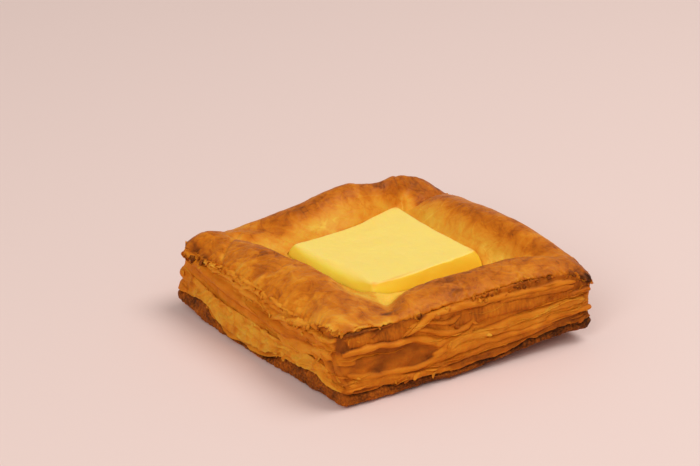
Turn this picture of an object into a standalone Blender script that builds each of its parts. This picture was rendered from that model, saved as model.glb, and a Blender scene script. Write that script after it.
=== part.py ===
"""Danish pastry: a square of laminated puff dough risen into four pillowy rims round a square
well, with a block of set custard resting in the well.

The dough is one loft of rings. It starts at the middle of the underside, turns up the layered
side, rolls over the rim and goes down into the well. Places round the square are counted in
sides: 0 is the near corner, 1 the right one, 2 the far one, 3 the left one, and 0.5 is the
middle of the first side. Lengths are in millimetres until a mesh is made.
"""

import bmesh
import bpy
import numpy as np
from mathutils import Vector

MM = 0.001
SIDES = 4.0

# Plan of the dough: corners of the underside and of the top sheet, near, right, far, left.
BASE_CORNERS = ((-50.3, -53.2), (48.4, -52.2), (51.0, 49.0), (-54.4, 48.6))
TOP_CORNERS = ((-50.6, -50.2), (50.0, -51.4), (52.2, 48.2), (-51.0, 49.4))
CORNER_SOFTNESS = 0.035      # half of a corner's rounding, in sides

# Heights round the square, by place.
BASE_LIFT = {0.0: 0.9, 0.5: 1.2, 0.8: 4.8, 1.0: 5.4, 1.4: 1.6, 2.0: 3.4, 2.5: 0.6, 2.9: 2.8, 3.0: 3.4,
             3.2: 0.2, 3.5: 0.0}
SHEET_EDGE = {0.0: 25.4, 0.3: 25.0, 0.7: 28.0, 0.9: 26.4, 1.0: 22.4, 1.1: 24.6, 1.5: 25.5, 2.0: 22.0,
              2.5: 25.0, 3.0: 22.8, 3.1: 22.6, 3.19: 22.8, 3.27: 24.6, 3.5: 25.6, 3.66: 25.4, 3.78: 24.6,
              3.86: 25.0, 3.93: 26.0}
RIM_CREST = {0.0: 25.8, 0.13: 28.3, 0.3: 29.4, 0.6: 29.8, 0.85: 30.2, 0.95: 29.0, 1.0: 28.0, 1.08: 29.2,
             1.18: 31.6, 1.32: 33.8, 1.5: 32.8, 1.75: 29.6, 1.9: 27.2, 2.0: 27.8, 2.13: 34.6, 2.25: 33.4,
             2.4: 35.3, 2.58: 32.0, 2.77: 28.2, 2.84: 25.8, 2.94: 26.8, 3.0: 26.6, 3.08: 27.4, 3.3: 29.6,
             3.6: 30.4, 3.85: 28.6}
WELL_LIP = {0.0: 21.0, 0.15: 20.6, 0.5: 19.8, 0.9: 18.6, 1.0: 19.4, 1.1: 21.4, 1.25: 23.4, 2.0: 24.2,
            2.8: 24.0, 2.95: 22.4, 3.05: 21.0, 3.2: 20.6, 3.5: 20.4, 3.85: 20.8}
HEIGHT_SOFTNESS = 0.05

# Where the rim is highest, as a share of the way from the top sheet's edge to the well's lip.
CREST_PLACE = {0.0: 0.42, 0.2: 0.40, 0.5: 0.36, 0.9: 0.34, 1.0: 0.40, 1.5: 0.55, 2.0: 0.52, 2.5: 0.46,
               3.0: 0.36, 3.5: 0.55}
OUTER_FULLNESS = 0.72        # below 1 the rim swells quickly from its edge
INNER_FULLNESS = 0.85
# How much the slope into the well sags: 0 is a full round slope, 1 is hollow at its foot.
INNER_SAG = {0.0: 0.7, 0.15: 0.9, 0.9: 0.9, 1.15: 0.5, 2.0: 0.35, 2.8: 0.4, 3.1: 0.8, 3.85: 0.8}

# Layered side: share of the height against how far a layer stands out from the straight side.
SIDE_LEDGES = ((0.06, 0.4), (0.16, 0.6), (0.27, -0.6), (0.38, 0.4), (0.50, 0.6), (0.60, 0.2),
               (0.70, -0.8), (0.80, -0.9), (0.90, 0.0))
SIDE_RIPPLE = 0.5            # waves along each layer
FLAT_SHARE = 0.62            # part of the underside that stays flat

# Custard block and the well it fills.
CUSTARD_CORNERS = ((-17.0, -19.2), (27.8, -13.8), (26.2, 33.2), (-23.0, 21.4))   # at the top
CUSTARD_TOP = 25.0
CUSTARD_DISH = 0.5           # the middle of the top is lower than its edges
CUSTARD_TILT = 0.4           # the far edge is higher than the near one
CUSTARD_EDGE_DROP = 0.8      # rounding of the top's edge
CUSTARD_FLARE = 2.6          # the foot is wider than the top on each side
FLARE_CURVE = 3.0            # the flare's curve, from the top down
CORNER_PULL = 0.045          # rounding of the custard's upright corners
WELL_TURN = 8.0              # degrees
WELL_FLOOR = 14.0
WELL_CORNER_SOFTNESS = 0.05
WELL_WALL_SHARES = (0.75, 0.4, 0.0)      # heights of the rings down the well's wall
GAP = 0.45                   # between custard and dough

AROUND_PER_SIDE = 30
TOP_ROWS = 9
CUSTARD_CUTS = 11

CRUST_COLOUR = (0.60, 0.25, 0.05, 1.0)
CUSTARD_COLOUR = (0.95, 0.68, 0.16, 1.0)


def perimeter_places():
    """Places round the square, closer together near the corners."""
    step = np.arange(AROUND_PER_SIDE) / AROUND_PER_SIDE
    crowded = step - 0.5 * np.sin(2.0 * np.pi * step) / (2.0 * np.pi)
    return np.concatenate([crowded + side for side in range(int(SIDES))])


def round_the_square(keys, places, softness):
    """Value at each place, read from {place: value} and softened over a short way each side."""
    known = sorted(keys)
    values = [keys[place] for place in known]
    shifts = np.linspace(-softness, softness, 9)
    return np.mean([np.interp(places + shift, known, values, period=SIDES) for shift in shifts], axis=0)


def outline(corners, places, softness):
    """Rounded four-cornered outline."""
    columns = [round_the_square({i: corner[axis] for i, corner in enumerate(corners)}, places, softness)
               for axis in range(2)]
    return np.column_stack(columns)


def outward_directions(plan):
    """Unit vectors that point away from a closed outline, in plan."""
    along = np.roll(plan, -1, axis=0) - np.roll(plan, 1, axis=0)
    normal = np.column_stack([along[:, 1], -along[:, 0]])
    return normal / np.linalg.norm(normal, axis=1)[:, None]


def custard_corners(height, clearance):
    """Corners of the custard's plan at a height, widened by clearance on each side."""
    level = np.clip((height - WELL_FLOOR) / (CUSTARD_TOP - WELL_FLOOR), 0.0, 1.0)
    reach = CUSTARD_FLARE * (1.0 - level ** FLARE_CURVE) + clearance
    turn = np.radians(WELL_TURN)
    along = np.array((np.cos(turn), np.sin(turn)))
    back = np.array((-np.sin(turn), np.cos(turn)))
    signs = ((-1, -1), (1, -1), (1, 1), (-1, 1))
    return [np.array(corner) + reach * (right * along + far * back)
            for corner, (right, far) in zip(CUSTARD_CORNERS, signs)]


def ring(plan, height):
    """Ring of points from a plan and one height or a height for each point."""
    return np.column_stack([plan, np.broadcast_to(height, len(plan))])


def underside_rings(places, base):
    """Rings from the flat middle of the underside out to its lifted edge."""
    middle = base.mean(axis=0)
    lift = round_the_square(BASE_LIFT, places, HEIGHT_SOFTNESS)
    rings = [ring(middle + (base - middle) * FLAT_SHARE * share, 0.0) for share in (0.5, 1.0)]
    for share in (0.35, 0.70, 0.96):
        reach = FLAT_SHARE + (1.0 - FLAT_SHARE) * share
        rings.append(ring(middle + (base - middle) * reach, lift * share ** 1.6))
    return rings


def side_rings(places, base, top):
    """Rings up the layered side, each standing out or set back by its own ledge."""
    low = round_the_square(BASE_LIFT, places, HEIGHT_SOFTNESS)
    high = round_the_square(SHEET_EDGE, places, HEIGHT_SOFTNESS)
    away = outward_directions(base)
    rings = []
    for number, (share, ledge) in enumerate(SIDE_LEDGES):
        wave = SIDE_RIPPLE * np.sin(2.0 * np.pi * places * (1 + number % 3) + 1.7 * number)
        plan = base + (top - base) * share + away * (ledge + wave)[:, None]
        rings.append(ring(plan, low + (high - low) * share + 0.6 * wave))
    return rings


def rim_rings(places, top, lip):
    """Rings from the top sheet's edge over the swollen rim to the well's lip."""
    edge_height = round_the_square(SHEET_EDGE, places, HEIGHT_SOFTNESS)
    crest_height = round_the_square(RIM_CREST, places, HEIGHT_SOFTNESS)
    crest_place = round_the_square(CREST_PLACE, places, HEIGHT_SOFTNESS)
    sag = round_the_square(INNER_SAG, places, HEIGHT_SOFTNESS)
    rings = []
    for share in np.linspace(0.0, 1.0, TOP_ROWS):
        outer = np.clip(share / crest_place, 0.0, 1.0)
        inner = np.clip((share - crest_place) / (1.0 - crest_place), 0.0, 1.0)
        swell = np.sin(0.5 * np.pi * outer) ** OUTER_FULLNESS
        full = np.cos(0.5 * np.pi * inner) ** INNER_FULLNESS
        fall = (1.0 - sag) * full + sag * (0.5 + 0.5 * np.cos(np.pi * inner))
        rising = edge_height + (crest_height - edge_height) * swell
        falling = lip[:, 2] + (crest_height - lip[:, 2]) * fall
        height = np.where(share < crest_place, rising, falling)
        rings.append(ring(top + (lip[:, :2] - top) * share, height))
    return rings


def well_plan(height, places):
    """Outline of the well at one height."""
    return outline(custard_corners(height, GAP), places, WELL_CORNER_SOFTNESS)


def well_lip(places):
    """Ring where the rim ends and the well's wall starts, at its own height all round."""
    height = round_the_square(WELL_LIP, places, HEIGHT_SOFTNESS)
    low, high = height.min(), height.max()
    share = ((height - low) / (high - low))[:, None]
    return ring(well_plan(low, places) * (1.0 - share) + well_plan(high, places) * share, height)


def well_rings(places, lip):
    """Rings down the well's wall and across its floor."""
    rings = []
    for share in WELL_WALL_SHARES:
        height = lip[:, 2].min() * share + WELL_FLOOR * (1.0 - share)
        rings.append(ring(well_plan(height, places), height))
    foot = rings[-1][:, :2]
    middle = foot.mean(axis=0)
    return rings + [ring(middle + (foot - middle) * 0.5, WELL_FLOOR)]


def loft(rings):
    """Closed mesh through rings that run from the middle of the underside to the well's floor."""
    mesh = bmesh.new()
    rows = [[mesh.verts.new(point) for point in points] for points in rings]
    under = mesh.verts.new(rings[0].mean(axis=0))
    floor = mesh.verts.new(rings[-1].mean(axis=0))
    count = len(rows[0])
    for here in range(count):
        there = (here + 1) % count
        mesh.faces.new((under, rows[0][there], rows[0][here]))
        mesh.faces.new((floor, rows[-1][here], rows[-1][there]))
        for lower, upper in zip(rows, rows[1:]):
            mesh.faces.new((lower[here], lower[there], upper[there], upper[here]))
    return mesh


def dough_mesh():
    """The whole risen dough, with its empty well."""
    places = perimeter_places()
    base = outline(BASE_CORNERS, places, CORNER_SOFTNESS)
    top = outline(TOP_CORNERS, places, CORNER_SOFTNESS)
    lip = well_lip(places)
    rings = underside_rings(places, base) + side_rings(places, base, top)
    rings += rim_rings(places, top, lip) + well_rings(places, lip)
    return loft(rings)


def custard_mesh():
    """The custard block: a cube cut into a grid, each point then moved to its place."""
    mesh = bmesh.new()
    bmesh.ops.create_cube(mesh, size=2.0)
    bmesh.ops.subdivide_edges(mesh, edges=mesh.edges, cuts=CUSTARD_CUTS, use_grid_fill=True)
    bottom = WELL_FLOOR + GAP
    for vert in mesh.verts:
        across, back, up = vert.co
        level = 0.5 * (up + 1.0)
        rise = CUSTARD_TILT * back - CUSTARD_DISH * (1.0 - across ** 2) * (1.0 - back ** 2)
        rise -= CUSTARD_EDGE_DROP * max(abs(across), abs(back)) ** 8
        height = bottom + (CUSTARD_TOP + rise - bottom) * level
        near_left, near_right, far_right, far_left = custard_corners(height, 0.0)
        right, far = 0.5 * (across + 1.0), 0.5 * (back + 1.0)
        near_point = near_left * (1.0 - right) + near_right * right
        far_point = far_left * (1.0 - right) + far_right * right
        x, y = near_point * (1.0 - far) + far_point * far
        middle = (near_left + near_right + far_right + far_left) / 4.0
        corner = 1.0 - CORNER_PULL * max(0.0, abs(across) + abs(back) - 1.0) ** 6
        vert.co = (middle[0] + (x - middle[0]) * corner, middle[1] + (y - middle[1]) * corner, height)
    return mesh


def finish_material(name, colour, roughness):
    """Principled material of one colour."""
    material = bpy.data.materials.new(name)
    material.use_nodes = True
    shader = material.node_tree.nodes["Principled BSDF"]
    shader.inputs["Base Color"].default_value = colour
    shader.inputs["Roughness"].default_value = roughness
    shader.inputs["Metallic"].default_value = 0.0
    return material


def make_object(name, mesh, material, collection, shift):
    """Object in metres from a mesh in millimetres, moved by shift first."""
    for vert in mesh.verts:
        vert.co = (vert.co + shift) * MM
    bmesh.ops.triangulate(mesh, faces=mesh.faces)
    bmesh.ops.recalc_face_normals(mesh, faces=mesh.faces)
    data = bpy.data.meshes.new(name)
    mesh.to_mesh(data)
    mesh.free()
    data.shade_smooth()
    data.materials.append(material)
    thing = bpy.data.objects.new(name, data)
    collection.objects.link(thing)
    return thing


def middle_shift(mesh):
    """Move that brings the middle of a mesh's box over the origin and its lowest point to zero."""
    points = np.array([vert.co for vert in mesh.verts])
    low, high = points.min(axis=0), points.max(axis=0)
    middle = (low + high) / 2.0
    return Vector((-middle[0], -middle[1], -low[2]))


def main():
    """Clear the scene and build the dough and its custard."""
    for thing in list(bpy.data.objects):
        bpy.data.objects.remove(thing, do_unlink=True)
    collection = bpy.data.collections.new("danish_pastry")
    bpy.context.scene.collection.children.link(collection)
    dough = dough_mesh()
    custard = custard_mesh()
    shift = middle_shift(dough)
    crust = finish_material("baked_crust", CRUST_COLOUR, 0.42)
    filling = finish_material("set_custard", CUSTARD_COLOUR, 0.35)
    make_object("pastry", dough, crust, collection, shift)
    make_object("custard", custard, filling, collection, shift)


main()
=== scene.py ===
"""Looks of a custard danish.

The dough is a square of laminated puff pastry. Its top sheet is swollen into four egg-washed rims
round a square well, its sides show the baked leaves of dough, and a block of set custard rests in
the well. Places round the square are counted in sides, as in the construction: 0 is the near
corner, 1 the right one, 2 the far one, 3 the left one, and 0.5 is the middle of the near side.
Sizes are in mm until a mesh is made.
"""

import itertools
import logging
import math
from dataclasses import dataclass, field
from enum import Enum, IntEnum
from typing import Any, Iterable, Sequence

import bpy
import numpy as np
from bpy.types import Material, Mesh, Object
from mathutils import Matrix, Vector


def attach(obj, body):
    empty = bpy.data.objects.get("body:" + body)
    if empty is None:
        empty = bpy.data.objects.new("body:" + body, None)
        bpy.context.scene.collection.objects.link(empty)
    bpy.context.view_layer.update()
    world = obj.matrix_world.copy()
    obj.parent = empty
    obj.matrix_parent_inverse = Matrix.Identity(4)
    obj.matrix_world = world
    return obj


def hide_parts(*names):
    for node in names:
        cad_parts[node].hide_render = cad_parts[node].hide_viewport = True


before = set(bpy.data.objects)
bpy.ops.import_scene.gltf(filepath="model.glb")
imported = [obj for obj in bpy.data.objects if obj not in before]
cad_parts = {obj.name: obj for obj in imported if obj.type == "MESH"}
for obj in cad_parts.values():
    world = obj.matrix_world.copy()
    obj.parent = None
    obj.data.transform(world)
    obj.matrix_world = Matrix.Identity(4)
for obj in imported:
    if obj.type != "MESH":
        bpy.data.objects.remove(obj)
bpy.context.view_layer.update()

LOG = logging.getLogger("danish")

MM = 0.001
SIDES = 4.0
SIDE_LENGTH = 100.0
LOOP = SIDES * SIDE_LENGTH
LOOP_RADIUS = LOOP / (2.0 * math.pi)
FRAME_SHIFT = np.array((1.21, 1.89, 0.0))    # from the dough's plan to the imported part's frame
TOP_LEVEL = 4.95    # just below the top sheet, counted in bands from the base edge
Keys = dict[float, float]
Colour = tuple[float, float, float]
Array = np.ndarray
Socket = bpy.types.NodeSocket
Corners = Sequence[Sequence[float]]


class Seed(IntEnum):
    """Seeds of the random draws, one for each kind of unevenness."""

    TORN_EDGE = 11
    SKIN = 12
    RIPPLES = 13
    SEAMS = 21
    SIDES = 22
    LEAVES = 23
    UNDERSIDE = 24
    CUSTARD = 31
    STRIPS = 41
    STRIP_ROUTES = 42
    LEFT_SHEET = 51
    FLAKES = 61
    FLAKE_PATCHES = 62
    RIGHT_FOLDS = 71
    FAR_FOLDS = 72
    CURLS = 81


# ---- Shape helpers ----

def keyed(table: Keys) -> Any:
    """Field that starts as a table of its own."""
    return field(default_factory=lambda: dict(table))


def by_place(keys: Keys, places: Array, softness: float = 0.05) -> Array:
    """Value at each place round the square.

    Args:
        keys: values by place, from 0 to 4.
        places: places, in sides.
        softness: distance each side over which the value is softened, in sides.

    Returns:
        One value for each place.
    """
    known = sorted(keys)
    values = [keys[place] for place in known]
    flat = np.ravel(places)
    shifts = np.linspace(-softness, softness, 9)
    mean = np.mean([np.interp(flat + s, known, values, period=SIDES) for s in shifts], axis=0)
    return mean.reshape(np.shape(places))


def outline(corners: Corners, places: Array, softness: float) -> Array:
    """Rounded four-cornered outline.

    Args:
        corners: near, right, far and left corner.
        places: places, in sides.
        softness: half the length of each corner's rounding, in sides.

    Returns:
        Points in plan, one for each place.
    """
    columns = [by_place({float(i): corner[axis] for i, corner in enumerate(corners)},
                                places, softness) for axis in range(2)]
    return np.stack(columns, axis=-1)


def ease(low: float, high: float, value: Array) -> Array:
    """Smooth step from 0 at low to 1 at high."""
    share = np.clip((value - low) / (high - low), 0.0, 1.0)
    return share * share * (3.0 - 2.0 * share)


def bell(value: Array, width: float) -> Array:
    """Bell curve that is 1 at zero and fades over width."""
    return np.exp(-(value / width) ** 2)


def near_place(places: Array, place: float, width: float) -> Array:
    """Bell curve round a place on the square, both in sides."""
    distance = np.abs((places - place + SIDES / 2.0) % SIDES - SIDES / 2.0)
    return bell(distance, width)


class Grain:
    """Smooth random unevenness in space, the same on every run."""

    def __init__(self, seed: int) -> None:
        """Draw the directions.

        Args:
            seed: seed of the draw.
        """
        draw = np.random.default_rng(seed)
        self.order = np.tile(draw.permutation(256), 3)
        lean = draw.normal(size=(256, 3))
        self.lean = lean / np.linalg.norm(lean, axis=1, keepdims=True)

    def _smooth(self, points: Array) -> Array:
        """One layer of unevenness.

        Args:
            points: places in space, in cells, with x, y and z last.

        Returns:
            Values of about -1 to 1.
        """
        cell = np.floor(points).astype(np.int64)
        part = points - cell
        fade = part ** 3 * (part * (part * 6.0 - 15.0) + 10.0)
        total = np.zeros(points.shape[:-1])
        for corner in itertools.product((0, 1), repeat=3):
            key = (cell + corner) & 255
            pick = self.order[self.order[self.order[key[..., 0]] + key[..., 1]] + key[..., 2]]
            pull = ((part - corner) * self.lean[pick]).sum(axis=-1)
            weight = np.where(np.array(corner) == 1, fade, 1.0 - fade).prod(axis=-1)
            total += pull * weight
        return total * 1.6

    def lumps(self, points: Array, size: float, octaves: int = 1) -> Array:
        """Unevenness at points in space.

        Args:
            points: places in mm, with x, y and z last.
            size: size of the largest lumps, in mm.
            octaves: number of layers, each half as large and half as strong as the last.

        Returns:
            Values of about -1 to 1.
        """
        return sum(self._smooth(points * (2 ** n / size) + 19.7 * n) / 2 ** n
                   for n in range(octaves))

    def streaks(self, places: Array, across: Array, long: float, short: float,
                octaves: int = 1) -> Array:
        """Unevenness drawn out round the square.

        Args:
            places: places, in sides.
            across: position across the streaks, in mm.
            long: length of the streaks, in mm.
            short: their width, in mm.
            octaves: number of layers.

        Returns:
            Values of about -1 to 1.
        """
        turn = places * (2.0 * math.pi / SIDES)
        turn, across = np.broadcast_arrays(turn, across)
        points = np.stack([LOOP_RADIUS * np.cos(turn) / long, LOOP_RADIUS * np.sin(turn) / long,
                           across / short], axis=-1)
        return self.lumps(points, 1.0, octaves)


def ridges(value: Array) -> Array:
    """Turn smooth unevenness into sharp ridges, 0 to 1."""
    return np.clip(1.0 - np.abs(value) * 2.2, 0.0, 1.0) ** 2


@dataclass
class Patch:
    """A sheet of points in rows and columns, with a value of each named kind at every point."""

    points: Array
    values: dict[str, Array] = field(default_factory=dict)

    def joined(self, other: "Patch") -> "Patch":
        """This patch followed by another along its rows' direction."""
        values = {name: np.concatenate([self.values[name], other.values[name]], axis=1)
                  for name in self.values}
        return Patch(np.concatenate([self.points, other.points], axis=1), values)


def placed(name: str, data: bpy.types.ID) -> Object:
    """Object at the origin that holds a mesh, a lamp or a camera."""
    thing = bpy.data.objects.new(name, data)
    bpy.context.scene.collection.objects.link(thing)
    return thing


def aim(thing: Object, place: Vector, direction: Vector) -> None:
    """Set a lamp or camera at a place, in metres, and turn it to look along a direction."""
    thing.location = place
    thing.rotation_mode = "QUATERNION"
    thing.rotation_quaternion = direction.to_track_quat("-Z", "Y")


class MeshMaker:
    """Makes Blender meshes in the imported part's frame from points in mm."""

    @staticmethod
    def loft(name: str, patch: Patch, ring: bool) -> Object:
        """Closed mesh from a patch whose first axis runs round the square.

        Args:
            name: name of the object.
            patch: points by place and row, rows running outwards from below, then up.
            ring: True where the last row joins the first, False where both ends close on a
                point.

        Returns:
            The new object, shaded smooth.
        """
        around, rows = patch.points.shape[:2]
        points = patch.points.reshape(-1, 3)
        values = {key: value.reshape(-1) for key, value in patch.values.items()}
        here = np.arange(around)
        there = (here + 1) % around
        steps = rows if ring else rows - 1
        low = np.arange(steps)
        high = (low + 1) % rows
        quads = np.stack([here[:, None] * rows + low, there[:, None] * rows + low,
                          there[:, None] * rows + high, here[:, None] * rows + high],
                         axis=-1).reshape(-1, 4)
        faces = [quads]
        if not ring:
            ends = (patch.points[:, 0].mean(axis=0), patch.points[:, -1].mean(axis=0))
            points = np.concatenate([points, np.array(ends)])
            values = {key: np.concatenate([value, [value[here * rows].mean(),
                                                   value[here * rows + rows - 1].mean()]])
                      for key, value in values.items()}
            first, last = around * rows, around * rows + 1
            faces.append(np.stack([np.full(around, first), there * rows, here * rows], axis=-1))
            faces.append(np.stack([np.full(around, last), here * rows + rows - 1,
                                   there * rows + rows - 1], axis=-1))
        return MeshMaker.solid(name, points, faces, values)

    @staticmethod
    def solid(name: str, points: Array, faces: Sequence[Array],
              values: dict[str, Array]) -> Object:
        """Object from points and faces.

        Args:
            name: name of the object.
            points: its points, in mm.
            faces: blocks of faces with equally many corners.
            values: numbers at the points, by name.

        Returns:
            The new object, shaded smooth.
        """
        mesh = bpy.data.meshes.new(name)
        corners = np.concatenate([block.reshape(-1) for block in faces]).astype(np.int32)
        sizes = np.concatenate([np.full(len(block), block.shape[1]) for block in faces])
        starts = np.concatenate([[0], np.cumsum(sizes)[:-1]]).astype(np.int32)
        mesh.vertices.add(len(points))
        mesh.vertices.foreach_set("co", ((points + FRAME_SHIFT) * MM).astype(np.float32).ravel())
        mesh.loops.add(len(corners))
        mesh.loops.foreach_set("vertex_index", corners)
        mesh.polygons.add(len(sizes))
        mesh.polygons.foreach_set("loop_start", starts)
        mesh.update(calc_edges=True)
        mesh.validate()
        MeshMaker._store(mesh, values)
        mesh.shade_smooth()
        return placed(name, mesh)

    @staticmethod
    def lines(name: str, points: Array, edges: Array, values: dict[str, Array],
              directions: dict[str, Array] | None = None) -> Object:
        """Carrier of points and edges for a Geometry Nodes tree.

        Args:
            name: name of the object.
            points: its points, in mm.
            edges: pairs of points.
            values: numbers at the points, by name.
            directions: vectors at the points, by name.

        Returns:
            The carrier.
        """
        mesh = bpy.data.meshes.new(name)
        mesh.vertices.add(len(points))
        mesh.vertices.foreach_set("co", ((points + FRAME_SHIFT) * MM).astype(np.float32).ravel())
        mesh.edges.add(len(edges))
        mesh.edges.foreach_set("vertices", edges.astype(np.int32).ravel())
        MeshMaker._store(mesh, values)
        MeshMaker._store(mesh, directions or {}, "FLOAT_VECTOR", "vector")
        return placed(name, mesh)

    @staticmethod
    def _store(mesh: Mesh, values: dict[str, Array], kind: str = "FLOAT",
               key: str = "value") -> None:
        """Keep numbers or vectors at a mesh's points, by name."""
        for name, value in values.items():
            layer = mesh.attributes.new(name, kind, "POINT")
            layer.data.foreach_set(key, value.astype(np.float32).ravel())


# ---- Shader helpers ----

class Value:
    """A number that varies over a surface; arithmetic on it adds Math nodes."""

    def __init__(self, tree: "NodeTree", socket: Socket) -> None:
        """Wrap an output socket of a tree."""
        self.tree = tree
        self.socket = socket

    def _with(self, operation: str, first: Any, second: Any) -> "Value":
        """Result of one Math node."""
        return Value(self.tree, self.tree.node("ShaderNodeMath", {0: first, 1: second},
                                               operation=operation).outputs[0])

    def __add__(self, other: Any) -> "Value":
        """Sum."""
        return self._with("ADD", self, other)

    __radd__ = __add__

    def __sub__(self, other: Any) -> "Value":
        """Difference."""
        return self._with("SUBTRACT", self, other)

    def __rsub__(self, other: Any) -> "Value":
        """Difference from a number on the left."""
        return self._with("SUBTRACT", other, self)

    def __mul__(self, other: Any) -> "Value":
        """Product."""
        return self._with("MULTIPLY", self, other)

    __rmul__ = __mul__

    def between(self, low: float, high: float) -> "Value":
        """Smooth step from 0 at low to 1 at high."""
        node = self.tree.node("ShaderNodeMapRange", {"Value": self, "From Min": low, "From Max": high},
                              interpolation_type="SMOOTHSTEP")
        return Value(self.tree, node.outputs[0])

    def ridge(self) -> "Value":
        """Thin lines, 0 to 1, where the value passes its middle."""
        node = self.tree.node("ShaderNodeMath", {0: self - 0.5}, operation="ABSOLUTE")
        return 1.0 - Value(self.tree, node.outputs[0]).between(0.0, 0.05)

    def limited(self) -> "Value":
        """The value kept within 0 and 1."""
        node = self.tree.node("ShaderNodeClamp", {"Value": self})
        return Value(self.tree, node.outputs[0])


class NodeTree:
    """A tree of nodes under construction, for a material or for geometry."""

    def __init__(self, tree: bpy.types.NodeTree) -> None:
        """Wrap the tree that nodes are added to."""
        self.tree = tree

    def node(self, kind: str, inputs: dict[int | str, Any] | None = None,
             **settings: Any) -> bpy.types.Node:
        """Add a node.

        Args:
            kind: the node's type.
            inputs: values or links by the socket's name or number.
            settings: properties set before its sockets; "stops" is a ramp's list of
                (position, colour).

        Returns:
            The new node.
        """
        node = self.tree.nodes.new(kind)
        for name, setting in settings.items():
            if name == "stops":
                self._set_stops(node.color_ramp, setting)
            else:
                setattr(node, name, setting)
        for name, value in (inputs or {}).items():
            self.feed(node.inputs[name], value)
        return node

    @staticmethod
    def _set_stops(ramp: bpy.types.ColorRamp, stops: Sequence[tuple[float, Colour]]) -> None:
        """Give a ramp its stops.

        Args:
            ramp: the ramp.
            stops: positions, from 0 to 1, and colours.
        """
        while len(ramp.elements) < len(stops):
            ramp.elements.new(1.0)
        for element, (position, colour) in zip(ramp.elements, stops):
            element.position = position
            element.color = (*colour, 1.0)

    def feed(self, socket: Socket, value: Any) -> None:
        """Link a socket to another one or set its value.

        Args:
            socket: input that is fed.
            value: a varying value, a node with one output, a socket, a colour or a number.
        """
        if isinstance(value, Value):
            value = value.socket
        if isinstance(value, bpy.types.Node):
            value = value.outputs[0]
        if isinstance(value, Socket):
            self.tree.links.new(value, socket)
        elif isinstance(value, tuple) and len(value) == 3 and socket.type == "RGBA":
            socket.default_value = (*value, 1.0)
        else:
            socket.default_value = value


class Shade(NodeTree):
    """A procedural material under construction."""

    def __init__(self, name: str) -> None:
        """Start a material with one Principled shader.

        Args:
            name: name of the material.
        """
        self.material = bpy.data.materials.new(name)
        self.material.use_nodes = True
        super().__init__(self.material.node_tree)
        self.shader = self.tree.nodes["Principled BSDF"]
        self.place = self.node("ShaderNodeTexCoord").outputs["Object"]

    def attribute(self, name: str) -> Value:
        """A value stored on the mesh."""
        node = self.node("ShaderNodeAttribute", attribute_name=name)
        return Value(self, node.outputs["Fac"])

    def noise(self, size: float, detail: float = 2.0, squeeze: Colour = (1.0, 1.0, 1.0),
              warp: float = 0.0) -> Value:
        """Cloudy unevenness about 0 to 1.

        Args:
            size: size of its features, in mm.
            detail: number of finer layers.
            squeeze: how much it is squeezed along each axis.
            warp: how far its features are smeared.

        Returns:
            The noise's value.
        """
        place = self.node("ShaderNodeMapping", {"Vector": self.place, "Scale": squeeze})
        node = self.node("ShaderNodeTexNoise", {"Vector": place, "Scale": 1.0 / (size * MM),
                                                "Detail": detail, "Distortion": warp})
        return Value(self, node.outputs["Fac"])

    def ramp(self, value: Value, stops: Sequence[tuple[float, Colour]]) -> Socket:
        """Colour from a value by a row of stops."""
        return self.node("ShaderNodeValToRGB", {"Fac": value}, stops=stops).outputs["Color"]

    def blend(self, share: Any, first: Any, second: Any) -> Socket:
        """Mix of two colours."""
        node = self.node("ShaderNodeMix", {0: share, 6: first, 7: second}, data_type="RGBA")
        return node.outputs[2]

    def bump(self, height: Value, depth: float, below: Any = None) -> Socket:
        """Relief in the shading.

        Args:
            height: value of 0 to 1.
            depth: depth of the relief, in mm.
            below: normal that it is added to.

        Returns:
            The new normal.
        """
        inputs = {"Height": height, "Distance": depth * MM, "Strength": 1.0}
        if below is not None:
            inputs["Normal"] = below
        return self.node("ShaderNodeBump", inputs).outputs["Normal"]

    def finish(self, **sockets: Any) -> Material:
        """Set the shader's sockets by name, with _ for a space, and return the material."""
        for name, value in sockets.items():
            self.feed(self.shader.inputs[name.replace("_", " ")], value)
        return self.material


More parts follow.
